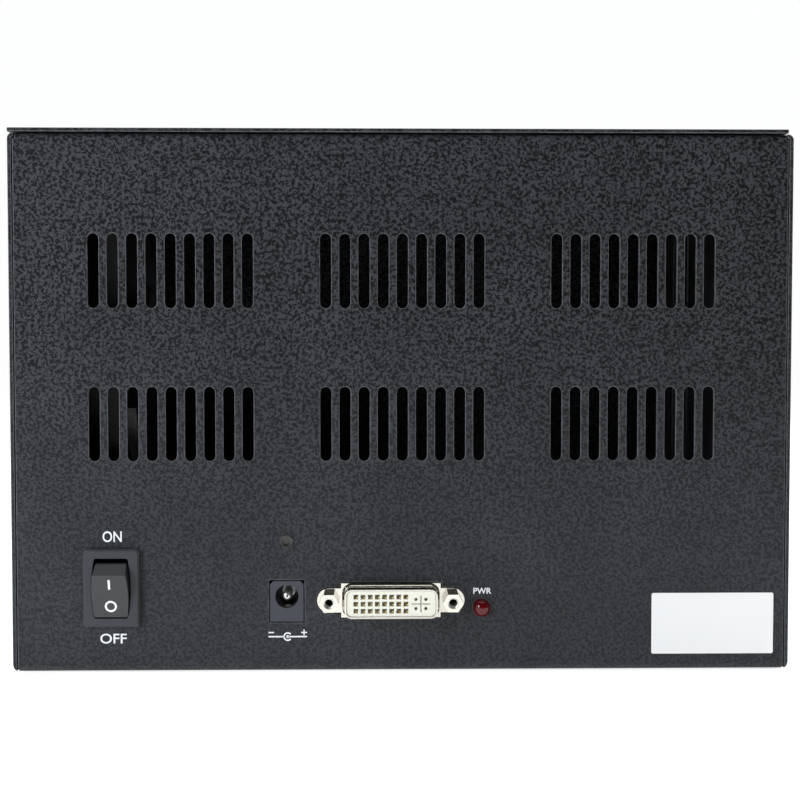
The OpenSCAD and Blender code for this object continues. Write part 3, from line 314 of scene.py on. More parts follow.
def solder_mask(name):
    """Green board: copper tracks under the mask in two directions, with a scatter of tinned holes."""
    m, n, shader, place = start_material(name)
    level = n.vector("MULTIPLY", place, (1.0, 1.0, 0.0))
    patch = n.cells(level, 0.085, distance="CHEBYCHEV")
    turn = n.range(patch, 0.47, 0.48)
    along = n.range(n.wave(place, 0.42, "X"), 0.6, 0.7)
    across = n.range(n.wave(place, 0.42, "Y"), 0.6, 0.7)
    across = n.math("MULTIPLY", across, n.math("SUBTRACT", 1.0, turn))
    track = n.math("ADD", n.math("MULTIPLY", along, turn), across)
    gate = n.range(n.noise(place, 0.07, 1.0, 0.4), 0.44, 0.47)
    track = n.math("MULTIPLY", track, gate)
    vias = n.range(n.cells(level, 0.42, jitter=0.9), 0.14, 0.10)
    color = n.mix(track, (0.006, 0.055, 0.028, 1), (0.012, 0.105, 0.052, 1))
    color = n.mix(n.math("MULTIPLY", vias, 0.8), color, (0.35, 0.3, 0.14, 1))
    height = n.math("ADD", track, vias)
    finish_shader(n, shader, color, n.range(track, 0, 1, 0.36, 0.28, smooth=False),
        n.bump(height, 0.4, 0.05 * MM), Specular_IOR_Level=0.5)
    return m


def wound(name, tint, axis, pitch):
    """Enamelled wire laid in turns, with painted shade in the grooves between them."""
    m, n, shader, place = start_material(name)
    turns = n.wave(place, pitch, axis, 0.4)
    # Painted shade: the colour darkens to a quarter in the grooves between the turns.
    color = n.mix(n.range(turns, 0.0, 0.5), shade(tint, 0.25), tint)
    finish_shader(n, shader, color, n.range(turns, 0, 1, 0.5, 0.28, smooth=False),
        n.bump(turns, 0.8, 0.2 * MM), 0.75)
    return m


def capacitor_can(name):
    """A drawn can: bare metal with fine streaks along its height."""
    m, n, shader, place = start_material(name)
    grain = use(n, GRAIN, Place=place, Stretch=(2.0, 2.0, 0.2), Scale=1.0)
    color = n.mix(n.range(grain["Cloud"], 0.3, 0.7), (0.62, 0.63, 0.65, 1), (0.5, 0.51, 0.53, 1))
    finish_shader(n, shader, color, n.range(grain["Fine"], 0.3, 0.7, 0.28, 0.4, smooth=False),
        n.bump(grain["Fine"], 0.12, 0.03 * MM, rounded_edges(n, 0.3)), 1.0)
    return m


def tinted_lens(name):
    """Dark red epoxy with a slight haze of flow lines."""
    m, n, shader, place = start_material(name)
    haze = n.noise(place, 0.9, 2.0, 0.5)
    color = n.mix(haze, (0.10, 0.0015, 0.004, 1), (0.16, 0.003, 0.006, 1))
    finish_shader(n, shader, color, n.range(haze, 0.3, 0.7, 0.05, 0.1, smooth=False),
        n.bump(haze, 0.05, 0.1 * MM), Transmission_Weight=0.3, IOR=1.5)
    return m


def ink(name, tint):
    """Screen-printed ink: flat, a little uneven, with pinholes where it met the rough coat."""
    m, n, shader, place = start_material(name)
    peel = n.noise(place, 2.4, 3.0, 0.6)
    color = n.mix(n.range(peel, 0.62, 0.8), tint, shade(tint, 0.6))
    finish_shader(n, shader, color, n.range(peel, 0.3, 0.7, 0.45, 0.6, smooth=False),
        n.bump(peel, 0.25, 0.05 * MM))
    return m


def label_stock(name):
    """White coated label paper, with its faint fibre."""
    m, n, shader, place = start_material(name)
    fibre = n.noise(n.vector("MULTIPLY", place, (0.5, 1.0, 3.0)), 1.4, 4.0, 0.6)
    cloud = n.noise(place, 0.07, 2.0, 0.5)
    color = n.mix(cloud, (0.93, 0.93, 0.92, 1), (0.9, 0.9, 0.9, 1))
    finish_shader(n, shader, color, n.range(fibre, 0.3, 0.7, 0.3, 0.42, smooth=False),
        n.bump(fibre, 0.12, 0.03 * MM, rounded_edges(n, 0.05)))
    return m


def dark_hole(name):
    """The shadow at the bottom of a hole."""
    m, n, shader, place = start_material(name)
    shadow_noise = n.noise(place, 1.2, 2.0, 0.5)
    # Painted shadow: near black, mottled a little.
    finish_shader(n, shader, n.mix(shadow_noise, (0.004, 0.004, 0.004, 1), (0.012, 0.011, 0.01, 1)),
        n.range(shadow_noise, 0.3, 0.7, 0.6, 0.8, smooth=False))
    return m


def threaded(name, tint, rough, axis, pitch, centres, radius):
    """Plated metal whose holes at the given centres show a thread, its grooves darkened with painted shade;
    elsewhere it is plain.
    """
    m, n, shader, place = start_material(name)
    near = None
    for c in centres:
        gap = n.vector("LENGTH", n.vector("MULTIPLY", n.vector("SUBTRACT", place, c), (1, 0, 1)))
        inside = n.range(gap, radius + 0.12, radius + 0.06)
        near = inside if near is None else n.math("MAXIMUM", near, inside)
    turns = n.wave(place, 1 / pitch * 0.32, axis)
    grain = use(n, GRAIN, Place=place, Stretch=(1.0, 0.3, 1.0), Scale=2.0)
    depth = n.math("ADD", n.math("MULTIPLY", turns, near), n.math("MULTIPLY", grain["Fine"], 0.03))
    # Painted shade: the thread's grooves inside the holes are painted half way to a dark brown.
    color = n.mix(n.math("MULTIPLY", near, n.range(turns, 0.2, 0.7, 0.5, 0.0)), tint, (0.2, 0.19, 0.17, 1))
    finish_shader(n, shader, color, n.range(grain["Fine"], 0.3, 0.7, rough, rough + 0.1, smooth=False),
        n.bump(depth, 0.7, 0.25 * MM, rounded_edges(n, 0.12)), 1.0)
    return m


# ---------------------------------------------------------------- each piece's finish

COAT = mottled_coat("case_coat", (0.047, 0.050, 0.0555, 1), (0.0025, 0.0028, 0.0036, 1))
STUD_COAT = moulded("stud_coat", (0.012, 0.012, 0.011, 1), 0.28, 0.2, 1.2, 0.05, 0.6)
ZINC = plated("zinc_plate", (0.37, 0.38, 0.385, 1), (0.345, 0.355, 0.37, 1), 0.42, (1.0, 3.5, 0.14))
SCREW_ZINC = plated("screw_zinc", (0.66, 0.66, 0.64, 1), (0.55, 0.56, 0.58, 1), 0.28, (1.5, 1.5, 1.5), 0.15)
NICKEL = plated("nickel_plate", (0.66, 0.64, 0.57, 1), (0.55, 0.53, 0.47, 1), 0.10, (0.3, 1.5, 3.0), 0.25)
BRASS = plated("turned_brass", (0.72, 0.53, 0.22, 1), (0.6, 0.43, 0.18, 1), 0.27, (2.0, 2.0, 0.3))
GOLD = plated("gold_flash", (0.85, 0.6, 0.24, 1), (0.74, 0.5, 0.18, 1), 0.25, (1.0, 1.0, 1.0), 0.05)
PIN = plated("pin_satin", (0.90, 0.88, 0.84, 1), (0.82, 0.80, 0.76, 1), 0.42, (1.0, 1.0, 1.0), 0.1)
TIN = plated("tinned_lead", (0.66, 0.66, 0.65, 1), (0.56, 0.56, 0.56, 1), 0.35, (1.0, 1.0, 1.0), 0.08)
OXIDE = plated("black_oxide", (0.035, 0.035, 0.037, 1), (0.05, 0.048, 0.05, 1), 0.4, (1.5, 1.5, 1.5), 0.15,
    metal=0.9)
FIN_METAL = plated("fin_aluminium", (0.56, 0.57, 0.59, 1), (0.48, 0.49, 0.52, 1), 0.42, (0.2, 3.0, 3.0))
FRAME_BLACK = moulded("fan_frame_black", (0.02, 0.02, 0.022, 1), 0.5, 0.3)
ROTOR_BLACK = moulded("rotor_black", (0.02, 0.02, 0.021, 1), 0.4, 0.15)
SWITCH_GREY = moulded("switch_grey", (0.034, 0.037, 0.044, 1), 0.45, 0.3, 4.0, 0.22, 0.4)
ROCKER_GREY = moulded("rocker_grey", (0.036, 0.037, 0.040, 1), 0.4, 0.25, 4.0, 0.5, 0.45)
JACK_GREY = moulded("jack_grey", (0.040, 0.044, 0.056, 1), 0.42, 0.2, 3.0, 0.12, 0.45)
SOCKET_BLACK = moulded("socket_black", (0.016, 0.016, 0.018, 1), 0.42, 0.2, 3.0, 0.1)
CREAM = moulded("cream_insulator", (0.90, 0.89, 0.76, 1), 0.36, 0.1, 2.0, 0.12, 0.5)
HEADER_CREAM = moulded("header_cream", (0.74, 0.70, 0.55, 1), 0.45, 0.15, 2.0, 0.12)
EPOXY = moulded("chip_epoxy", (0.022, 0.022, 0.024, 1), 0.55, 0.4, 5.0, 0.08)
FERRITE = moulded("ferrite_grey", (0.10, 0.10, 0.105, 1), 0.6, 0.6, 4.0, 0.3)
MAGNET = moulded("magnet_rubber", (0.045, 0.04, 0.04, 1), 0.65, 0.5, 3.0, 0.1)
RED_WIRE = moulded("red_insulation", (0.46, 0.014, 0.016, 1), 0.38, 0.05, 1.0, 0.05, 0.5)
YELLOW_WIRE = moulded("yellow_insulation", (0.62, 0.40, 0.02, 1), 0.38, 0.05, 1.0, 0.05, 0.5)
BOARD = solder_mask("solder_mask")
COIL = wound("enamelled_wire", (0.62, 0.22, 0.07, 1), "X", 0.55)
CAN = capacitor_can("capacitor_can")
LENS = tinted_lens("lamp_lens")
WHITE_INK = ink("white_ink", (0.86, 0.87, 0.88, 1))
LABEL = label_stock("label_stock")
HOLE = dark_hole("hole_shadow")
SLEEVE = moulded("can_sleeve", (0.02, 0.025, 0.07, 1), 0.35, 0.05, 1.0, 0.1, 0.5)
SCREW_ENDS = [(LINK_X + side * LINK_SCREW_X, 0, LINK_Z) for side in (-1, 1)]
JACKSCREW = threaded("jackscrew_nickel", (0.70, 0.68, 0.60, 1), 0.10, "Y", 0.6, SCREW_ENDS, radius=1.42)

FINISHES = {
    "chassis_tray": COAT, "cover": COAT, "earth_stud": COAT, "cover_screws": OXIDE, "fan_screws": OXIDE,
    "cover_nuts": SCREW_ZINC, "card_frame": ZINC, "slot_screws": SCREW_ZINC, "board_screws": SCREW_ZINC,
    "earth_nut": SCREW_ZINC, "fan_frame": FRAME_BLACK, "fan_bearing": BRASS, "fan_stator": COIL,
    "fan_rotor": ROTOR_BLACK, "fan_magnet": MAGNET, "fan_shaft": SCREW_ZINC, "backplane_board": BOARD,
    "board_standoffs": BRASS, "bridge_chip": EPOXY, "bridge_heatsink": FIN_METAL, "capacitors": CAN,
    "power_inductors": FERRITE, "regulators": EPOXY, "link_shell": NICKEL, "link_insulator": CREAM,
    "link_jackscrews": JACKSCREW, "power_jack": JACK_GREY, "power_jack_pin": PIN,
    "power_jack_spring": NICKEL, "power_lamp": LENS, "lamp_leads": TIN, "switch_body": SWITCH_GREY,
    "switch_rocker": ROCKER_GREY, "switch_terminals": BRASS, "switch_header": HEADER_CREAM,
    "switch_wires": RED_WIRE, "fan_header": HEADER_CREAM, "fan_wires": YELLOW_WIRE,
}
for i in range(1, 5):
    FINISHES[f"slot_cover_{i}"] = ZINC
    FINISHES[f"card_socket_{i}"] = SOCKET_BLACK


def paint(obj, material):
    """The material in every slot that the object has."""
    if obj.data.materials:
        for i in range(len(obj.data.materials)):
            obj.data.materials[i] = material
    else:
        obj.data.materials.append(material)


for name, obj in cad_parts.items():
    paint(obj, FINISHES[name])


# ---------------------------------------------------------------- making pieces

def add_piece(name, mesh, material, body):
    """The mesh as a named piece that moves with a body."""
    obj = bpy.data.objects.new(name, mesh)
    bpy.context.scene.collection.objects.link(obj)
    if not mesh.materials:
        mesh.materials.append(material)
    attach(obj, body)
    return obj


def mesh_from(name, build, smooth_deg=None):
    """A mesh that build fills in millimetres, in metres and with its normals outwards."""
    bm = bmesh.new()
    build(bm)
    bmesh.ops.remove_doubles(bm, verts=bm.verts, dist=1e-5)
    bmesh.ops.recalc_face_normals(bm, faces=bm.faces)
    bmesh.ops.scale(bm, vec=(MM, MM, MM), verts=bm.verts)
    mesh = bpy.data.meshes.new(name)
    bm.to_mesh(mesh)
    bm.free()
    if smooth_deg is not None:
        mesh.shade_smooth()
        mesh.set_sharp_from_angle(angle=math.radians(smooth_deg))
    return mesh


def skin(bm, rings):
    """Faces between each ring of points and the next."""
    for a, b in zip(rings, rings[1:]):
        for i in range(len(a)):
            j = (i + 1) % len(a)
            bm.faces.new((a[i], a[j], b[j], b[i]))


def extrude_outline(bm, points, place, depth, holes=()):
    """A flat outline (u, v) as a slab of that depth; place(u, v, w) gives its point."""
    def ring(line, w):
        return [bm.verts.new(place(u, v, w)) for u, v in line]
    front, back = ring(points, 0.0), ring(points, depth)
    sides = [(front, back)]
    for line in holes:
        sides.append((ring(line, 0.0), ring(line, depth)))
    for pair in sides:
        skin(bm, pair)
    if not holes:
        bm.faces.new(front)
        bm.faces.new(back)
        return
    for outer, inner in zip(sides[0], sides[1]):
        skin(bm, (outer, inner))


def arc_points(cu, cv, r, start, end, steps):
    """Points on an arc, its ends in degrees."""
    return [(cu + r * math.cos(math.radians(start + (end - start) * i / steps)),
             cv + r * math.sin(math.radians(start + (end - start) * i / steps))) for i in range(steps + 1)]


def round_rect(cu, cv, w, h, r, steps=5):
    """The outline of a rectangle with round corners about its centre."""
    u, v = w / 2 - r, h / 2 - r
    return (arc_points(cu + u, cv + v, r, 0, 90, steps) + arc_points(cu - u, cv + v, r, 90, 180, steps)
        + arc_points(cu - u, cv - v, r, 180, 270, steps) + arc_points(cu + u, cv - v, r, 270, 360, steps))


def on_panel(u, v, w):
    """A point on the connector panel's outer face, w in front of it."""
    return (u, FRONT_Y - w, v)


def on_rocker(u, v, w):
    """A point on the rocker's dished face at rest, w in front of it."""
    dish = ROCKER_ARM - 0.02 * ROCKER_ARM * (1 - abs(v) / ROCKER_FACE)
    y, z = -(dish + w), v
    c, s = math.cos(ROCKER_TILT), math.sin(ROCKER_TILT)
    return (SWITCH_X + u, PIVOT_Y + y * c - z * s, SWITCH_Z + y * s + z * c)


def lettering(name, text, x0, x1, z0, z1, weight):
    """Printed capitals on the panel, fitted to the box that they fill in the photograph."""
    curve = bpy.data.curves.new(name, "FONT")
    curve.body = text
    curve.size = 1.0
    curve.offset = weight
    curve.resolution_u = 5
    curve.extrude = 0.5
    obj = bpy.data.objects.new(name + "_type", curve)
    bpy.context.scene.collection.objects.link(obj)
    bpy.context.view_layer.update()
    mesh = bpy.data.meshes.new_from_object(obj.evaluated_get(bpy.context.evaluated_depsgraph_get()))
    bpy.data.objects.remove(obj)
    mesh.name = name
    xs = [v.co.x for v in mesh.vertices]
    ys = [v.co.y for v in mesh.vertices]
    for v in mesh.vertices:
        u = x0 + (v.co.x - min(xs)) / (max(xs) - min(xs)) * (x1 - x0)
        up = z0 + (v.co.y - min(ys)) / (max(ys) - min(ys)) * (z1 - z0)
        v.co = Vector(on_panel(u, up, (v.co.z + 0.5) * PRINT_T)) * MM
    bm = bmesh.new()
    bm.from_mesh(mesh)
    bmesh.ops.remove_doubles(bm, verts=bm.verts, dist=1e-8)
    bmesh.ops.recalc_face_normals(bm, faces=bm.faces)
    bm.to_mesh(mesh)
    bm.free()
    mesh.materials.clear()
    return add_piece(name, mesh, WHITE_INK, "chassis")


# ---------------------------------------------------------------- prints and label

lettering("print_on", "ON", -80.65, -75.5, 35.3, 38.25, 0.012)
lettering("print_off", "OFF", -81.5, -74.4, 7.8, 10.5, 0.012)
lettering("print_lamp", "PWR", 19.2, 24.1, 20.95, 22.6, 0.018)


def polarity_sign(bm):
    """The usual barrel plug sign: minus outside, plus at the centre."""
    u, v, line = -31.0, 9.5, 0.4
    left, right, ring_r = u - 5.2, u + 5.2, 1.0
    gap = line / ring_r * 30
    def stroke(u0, u1, v0, v1):
        extrude_outline(bm, [(u0, v0), (u1, v0), (u1, v1), (u0, v1)], on_panel, PRINT_T)
    stroke(left, u - ring_r + 0.05, v - line / 2, v + line / 2)
    stroke(u, right, v - line / 2, v + line / 2)
    outer = arc_points(u, v, ring_r + line / 2, 40, 320, 24)
    inner = arc_points(u, v, ring_r - line / 2, 320, 40, 24)
    extrude_outline(bm, outer + inner, on_panel, PRINT_T)
    extrude_outline(bm, arc_points(u, v, 0.42, 0, 345, 15), on_panel, PRINT_T)
    stroke(left, left + 1.5, v + 0.95, v + 1.3)
    stroke(right - 1.6, right, v + 0.95, v + 1.3)
    stroke(right - 0.97, right - 0.63, v + 0.35, v + 0.95)
    stroke(right - 0.97, right - 0.63, v + 1.3, v + 1.9)


add_piece("print_polarity", mesh_from("print_polarity", polarity_sign), WHITE_INK, "chassis")


def bare_label(bm):
    """The white sticker, left bare."""
    extrude_outline(bm, round_rect(84.25, 12.75, 33.2, 16.6, 0.5), on_panel, LABEL_T)


add_piece("bare_label", mesh_from("bare_label", bare_label, 40), LABEL, "chassis")


def rocker_bar(bm):
    """The line for on."""
    extrude_outline(bm, round_rect(-0.08, 3.45, 0.62, 2.8, 0.1, 2), on_rocker, PRINT_T)


def rocker_ring(bm):
    """The circle for off."""
    steps = 36
    outer, inner = (arc_points(0.1, -2.9, r, 0, 360 - 360 / steps, steps - 1) for r in (1.62, 1.08))
    extrude_outline(bm, outer, on_rocker, PRINT_T, [inner])


add_piece("rocker_on_mark", mesh_from("rocker_on_mark", rocker_bar), WHITE_INK, "rocker")
add_piece("rocker_off_mark", mesh_from("rocker_off_mark", rocker_ring), WHITE_INK, "rocker")


# ---------------------------------------------------------------- repeated pieces by Geometry Nodes

def repeat_tree(name, shape, material, inputs):
    """A tree that sets one small shape on each of the object's points, then makes it real mesh."""
    tree = bpy.data.node_groups.new(name, "GeometryNodeTree")
    tree.interface.new_socket(name="Geometry", in_out="INPUT", socket_type="NodeSocketGeometry")
    for key, default in inputs:
        socket(tree, "NodeSocketFloat", key, "INPUT", default)
    tree.interface.new_socket(name="Geometry", in_out="OUTPUT", socket_type="NodeSocketGeometry")
    n = Nodes(tree)
    start, end = n.new("NodeGroupInput"), n.new("NodeGroupOutput")
    solid = shape(n, start.outputs)
    place = n.new("GeometryNodeInstanceOnPoints")
    n.join(start.outputs["Geometry"], place.inputs["Points"])
    n.join(solid, place.inputs["Instance"])
    real = n.new("GeometryNodeRealizeInstances")
    n.join(place.outputs[0], real.inputs[0])
    put = n.new("GeometryNodeSetMaterial")
    put.inputs["Material"].default_value = material
    n.join(real.outputs[0], put.inputs["Geometry"])
    n.join(put.outputs[0], end.inputs[0])
    return tree


def size_vector(n, given):
    """The three sizes of a block as one vector."""
    xyz = n.new("ShaderNodeCombineXYZ")
    for key in "XYZ":
        n.join(given["Size " + key], xyz.inputs[key])
    return xyz.outputs[0]


def block_shape(n, given):
    """A small block, such as a contact or a chip's end."""
    cube = n.new("GeometryNodeMeshCube")
    n.join(size_vector(n, given), cube.inputs["Size"])
    return cube.outputs["Mesh"]


def dome_shape(n, given):
    """A flattened drop of solder."""
    ball = n.new("GeometryNodeMeshUVSphere")
    ball.inputs["Segments"].default_value = 10
    ball.inputs["Rings"].default_value = 6
    n.join(given["Radius"], ball.inputs["Radius"])
    flat = n.new("GeometryNodeTransform")
    n.join(ball.outputs["Mesh"], flat.inputs["Geometry"])
    squash = n.new("ShaderNodeCombineXYZ")
    squash.inputs[0].default_value = squash.inputs[1].default_value = 1
    n.join(given["Flatness"], squash.inputs[2])
    n.join(squash.outputs[0], flat.inputs["Scale"])
    return flat.outputs[0]


def repeated(name, points_mm, tree, values, material, body):
    """Points in millimetres, each with the tree's shape on it, as one plain mesh."""
    seeds = bpy.data.meshes.new(name + "_points")
    seeds.from_pydata([[c * MM for c in p] for p in points_mm], [], [])
    holder = bpy.data.objects.new(name + "_holder", seeds)
    bpy.context.scene.collection.objects.link(holder)
    mod = holder.modifiers.new("repeat", "NODES")
    mod.node_group = tree
    for item in tree.interface.items_tree:
        if item.item_type == "SOCKET" and item.in_out == "INPUT" and item.name in values:
            mod[item.identifier] = values[item.name] * (MM if item.name != "Flatness" else 1.0)
    bpy.context.view_layer.update()
    mesh = bpy.data.meshes.new_from_object(holder.evaluated_get(bpy.context.evaluated_depsgraph_get()))
    holder.modifiers.clear()
    bpy.data.objects.remove(holder)
    mesh.name = name
    mesh.materials.clear()
    return add_piece(name, mesh, material, body)


SIZES = [("Size X", 0.001), ("Size Y", 0.001), ("Size Z", 0.001)]
GOLD_BARS = repeat_tree("contact_bars", block_shape, GOLD, SIZES)
CHIP_BARS = repeat_tree("chip_bodies", block_shape, EPOXY, SIZES)
TIN_BARS = repeat_tree("tinned_ends", block_shape, TIN, SIZES)
DOMES = repeat_tree("solder_domes", dome_shape, TIN, [("Radius", 0.001), ("Flatness", 0.5)])


def block_size(x, y, z):
    """The three size inputs of a block's tree, in millimetres."""
    return {"Size X": x, "Size Y": y, "Size Z": z}


# Spring contacts along both sides of each card socket's groove, left out at its key
groove_end = SOCKET_X1 - 1.4
key_x = groove_end - 12.2
contacts = []
for y in CARD_Y:
    for i in range(82):
        x = groove_end - 0.9 - i
        if key_x - 2.4 < x < key_x + 0.5 or x < SOCKET_X0 + 2:
            continue
        for side in (-1, 1):
            contacts.append((x, y + side * 0.78, BOARD_TOP + SOCKET_H - 4.6))
repeated("socket_contacts", contacts, GOLD_BARS, block_size(0.5, 0.22, 6.6), GOLD, "chassis")

# A leaf contact in each square hole of the receptacle, low at the right as in the photograph
first_x = LINK_X - 0.395 * (SHELL_W - 1.1) + 0.36
leaves = [(first_x + col * LINK_PITCH, FRONT_Y - 3.7, LINK_Z + row * LINK_PITCH - 0.3)
    for col in range(8) for row in (-1, 0, 1)]
repeated("link_leaves", leaves, GOLD_BARS, block_size(0.34, 1.7, 0.36), GOLD, "chassis")

# Small parts on the board: bodies with tinned ends, in rows beside the sockets
random.seed(7)
chip_z = BOARD_TOP + 0.28
bodies, ends = [], []
for lane in range(3):
    for i in range(30):
        x = -44 + i * 4.1 + random.uniform(-0.5, 0.5)
        y = (CARD_Y[lane] + CARD_Y[lane + 1]) / 2 + random.choice((-2.6, -0.9, 0.9, 2.6))
        bodies.append((x, y, chip_z))
        ends += [(x - 0.8, y, chip_z), (x + 0.8, y, chip_z)]
repeated("chip_resistors", bodies, CHIP_BARS, block_size(1.2, 0.9, 0.45), EPOXY, "chassis")
repeated("chip_resistor_ends", ends, TIN_BARS, block_size(0.4, 0.94, 0.5), TIN, "chassis")

# Solder joints under the board
joints = [(SOCKET_X1 - 2.4 - i * 2.0, y + side, BOARD_TOP - BOARD_T)
    for y in CARD_Y for i in range(41) for side in (-1.6, 1.6)]
repeated("solder_joints", joints, DOMES, {"Radius": 0.55, "Flatness": 0.7}, TIN, "chassis")


# ---------------------------------------------------------------- switch, jack, receptacle and lamp details

def lathe(bm, profile, centre, axis="y", steps=32):
    """A closed profile of (radius, distance) turned about an axis through the centre."""
    def point(r, d, turn):
        u, v = r * math.cos(turn), r * math.sin(turn)
        step = {"x": (d, u, v), "y": (u, d, v), "z": (u, v, d)}[axis]
        return [c + part for c, part in zip(centre, step)]
    rings = [[bm.verts.new(point(r, d, 2 * math.pi * i / steps)) for i in range(steps)] for r, d in profile]
    skin(bm, rings + rings[:1])


def pin_eye(bm):
    """The dark eye at the end of the jack's hollow pin: a disc of painted shadow."""
    lathe(bm, [(0.001, -0.03), (0.3, -0.03), (0.3, 0.05), (0.001, 0.05)],
        (JACK_X, FRONT_Y + 0.6, JACK_Z), steps=20)


add_piece("jack_pin_eye", mesh_from("jack_pin_eye", pin_eye, 40), HOLE, "chassis")


def screw_threads(bm):
    """Seven turns of thread in each jack screw."""
    pitch, start = 0.6, 0.15
    profile = [(1.41, start)]
    for turn in range(7):
        profile += [(1.12, start + pitch * turn + 0.2), (1.4, start + pitch * turn + 0.5)]
    profile += [(1.415, 4.6), (1.418, 0.2)]
    for side in (-1, 1):
        lathe(bm, profile, (LINK_X + side * LINK_SCREW_X, FRONT_Y - 4.8, LINK_Z), steps=28)


add_piece("screw_threads", mesh_from("screw_threads", screw_threads, 20), PIN, "chassis")


def stud_paint(bm):
    """The coat gathered round the earth stud's head: a low uneven rim about a shallow hollow."""
    steps = 40
    rows = ((1.85, 0.0), (1.72, 0.2), (1.55, 0.26), (1.4, 0.22), (1.0, 0.04), (0.6, 0.03))
    rings = []
    for r, h in rows:
        ring = []
        for i in range(steps):
            a = 2 * math.pi * i / steps
            out = r * (1 + 0.05 * math.sin(3 * a + 1.0) + 0.03 * math.sin(5 * a))
            ring.append(bm.verts.new(on_panel(JACK_X + out * math.cos(a), STUD_Z + out * math.sin(a), h)))
        rings.append(ring)
    middle = bm.verts.new(on_panel(JACK_X, STUD_Z, 0.03))
    skin(bm, rings)
    for i in range(steps):
        bm.faces.new((rings[-1][i], rings[-1][(i + 1) % steps], middle))
    bm.faces.new(rings[0])


add_piece("stud_paint", mesh_from("stud_paint", stud_paint, 50), STUD_COAT, "chassis")


def shell_fillet(bm):
    """The drawn radius where the receptacle's shell leaves its plate."""
    def ring(out, high):
        line = round_rect(LINK_X, LINK_Z, SHELL_W + 2 * out, SHELL_H + 2 * out, SHELL_R + out, 8)
        return [bm.verts.new(on_panel(u, v, high)) for u, v in line]
    r, steps, clear = 0.75, 7, 0.005
    rings = []
    for k in range(steps + 1):
        t = math.radians(90 * k / steps)
        rings.append(ring(r - r * math.cos(t) + clear, r - r * math.sin(t) - 0.2))
    rings.append(ring(clear, -0.22))
    skin(bm, rings + rings[:1])


add_piece("shell_fillet", mesh_from("shell_fillet", shell_fillet, 50), NICKEL, "chassis")


def jack_spring_ring(bm):
    """The sprung ring that shows above the pin, deep in the bore."""
    start, end, steps, sides, r = -40, 220, 22, 8, 0.24
    rings = []
    for k, (u, v) in enumerate(arc_points(JACK_X + 0.25, JACK_Z + 1.25, 1.35, start, end, steps)):
        a = math.radians(start + (end - start) * k / steps)
        ring = []
        for i in range(sides):
            t = 2 * math.pi * i / sides
            out, y = r * math.cos(t), FRONT_Y + 5.2 + r * math.sin(t)
            ring.append(bm.verts.new((u + out * math.cos(a), y, v + out * math.sin(a))))
        rings.append(ring)
    skin(bm, rings)
    bm.faces.new(rings[0])
    bm.faces.new(rings[-1])


add_piece("jack_spring_ring", mesh_from("jack_spring_ring", jack_spring_ring, 60), PIN, "chassis")


def lamp_cup(bm):
    """The lead frame's reflector cup inside the lamp's dome."""
    lathe(bm, [(0.001, 0.0), (0.85, -0.5), (1.05, -0.5), (1.05, 1.2), (0.001, 1.2)],
        (LAMP_X, FRONT_Y + 0.1, LAMP_Z), steps=20)


add_piece("lamp_cup", mesh_from("lamp_cup", lamp_cup, 40), TIN, "chassis")


def fan_hub_ring(bm):
    """A low rim round the rotor hub's end."""
    low, high = HUB_R - 1.6, HUB_R - 0.9
    lathe(bm, [(low, -0.1), (high, -0.1), (high, 0.35), (HUB_R - 1.2, 0.45), (low, 0.35)],
        (FAN_X + 24.1, 0, FAN_Z), "x", 48)


add_piece("fan_hub_ring", mesh_from("fan_hub_ring", fan_hub_ring, 40), ROTOR_BLACK, "rotor")


def can_sleeves(bm):
    """Shrunk sleeves round the capacitors, open at the top."""
    outer = CAN_R + 0.12
    for share_x, share_y in CAN_SHARES:
        x = BOARD_LEFT + CAN_R + share_x * (BOARD_W - 2 * CAN_R)
        y = BOARD_FRONT + 2 * CAN_R + share_y * (BOARD_D - 4 * CAN_R)
        lathe(bm, [(CAN_R, 1.9), (outer, 1.9), (outer, 11.4), (3.7, 11.75), (3.5, 11.6), (CAN_R, 11.3)],
            (x, y, BOARD_TOP), "z", 36)


add_piece("can_sleeves", mesh_from("can_sleeves", can_sleeves, 35), SLEEVE, "chassis")


def stacked(bm, centre, rows):
    """A closed form through rounded rectangles: (width, depth, corner radius, height) each."""
    rings = [[bm.verts.new((x, y, z)) for x, y in round_rect(*centre, w, d, r, 3)] for w, d, r, z in rows]
    skin(bm, rings)
    bm.faces.new(rings[0])
    bm.faces.new(rings[-1])


def lead_plug(x, y, wires, wire_pitch):
    """The housing that a set of leads ends in: its nose fills the header, and a trough takes the leads."""
    lead_t = 1.6
    span = wire_pitch * (wires - 1) + lead_t
    nose = 0.8 * (wires + 1) * 1.4 * lead_t - 0.2
    low, shoulder, floor, top = (BOARD_TOP + rise for rise in (2.5, 6.04, 8.55, 9.7))

    def build(bm):
        stacked(bm, (x, y), [
            (2.9, nose - 0.4, 0.2, low), (3.28, nose, 0.2, low + 0.25), (3.28, nose, 0.2, shoulder),
            (4.9, span + 2.3, 0.3, shoulder), (5.1, span + 2.5, 0.35, shoulder + 0.15),
            (5.1, span + 2.5, 0.35, top - 0.2), (4.8, span + 2.2, 0.35, top), (2.5, span + 0.6, 0.5, top),
            (2.3, span + 0.4, 0.5, top - 0.2), (2.3, span + 0.4, 0.5, floor)])
        for side in (-1, 1):
            stacked(bm, (x + 2.6, y + side * (span / 2 + 0.2)), [
                (0.5, 0.6, 0.1, shoulder + 0.25), (0.7, 0.8, 0.12, shoulder + 0.5),
                (0.7, 0.8, 0.12, top - 0.6), (0.3, 0.6, 0.1, top - 0.25)])
        stacked(bm, (x - 2.6, y), [
            (0.5, 1.6, 0.1, shoulder + 0.3), (1.0, 1.9, 0.15, shoulder + 0.7),
            (0.8, 1.9, 0.15, shoulder + 1.6), (0.4, 1.6, 0.1, shoulder + 2.4)])
    return build


for name, x, y, wires, wire_pitch in LEAD_PLUGS:
    mesh = mesh_from(name, lead_plug(x, y, wires, wire_pitch), 40)
    add_piece(name, mesh, HEADER_CREAM, "chassis")


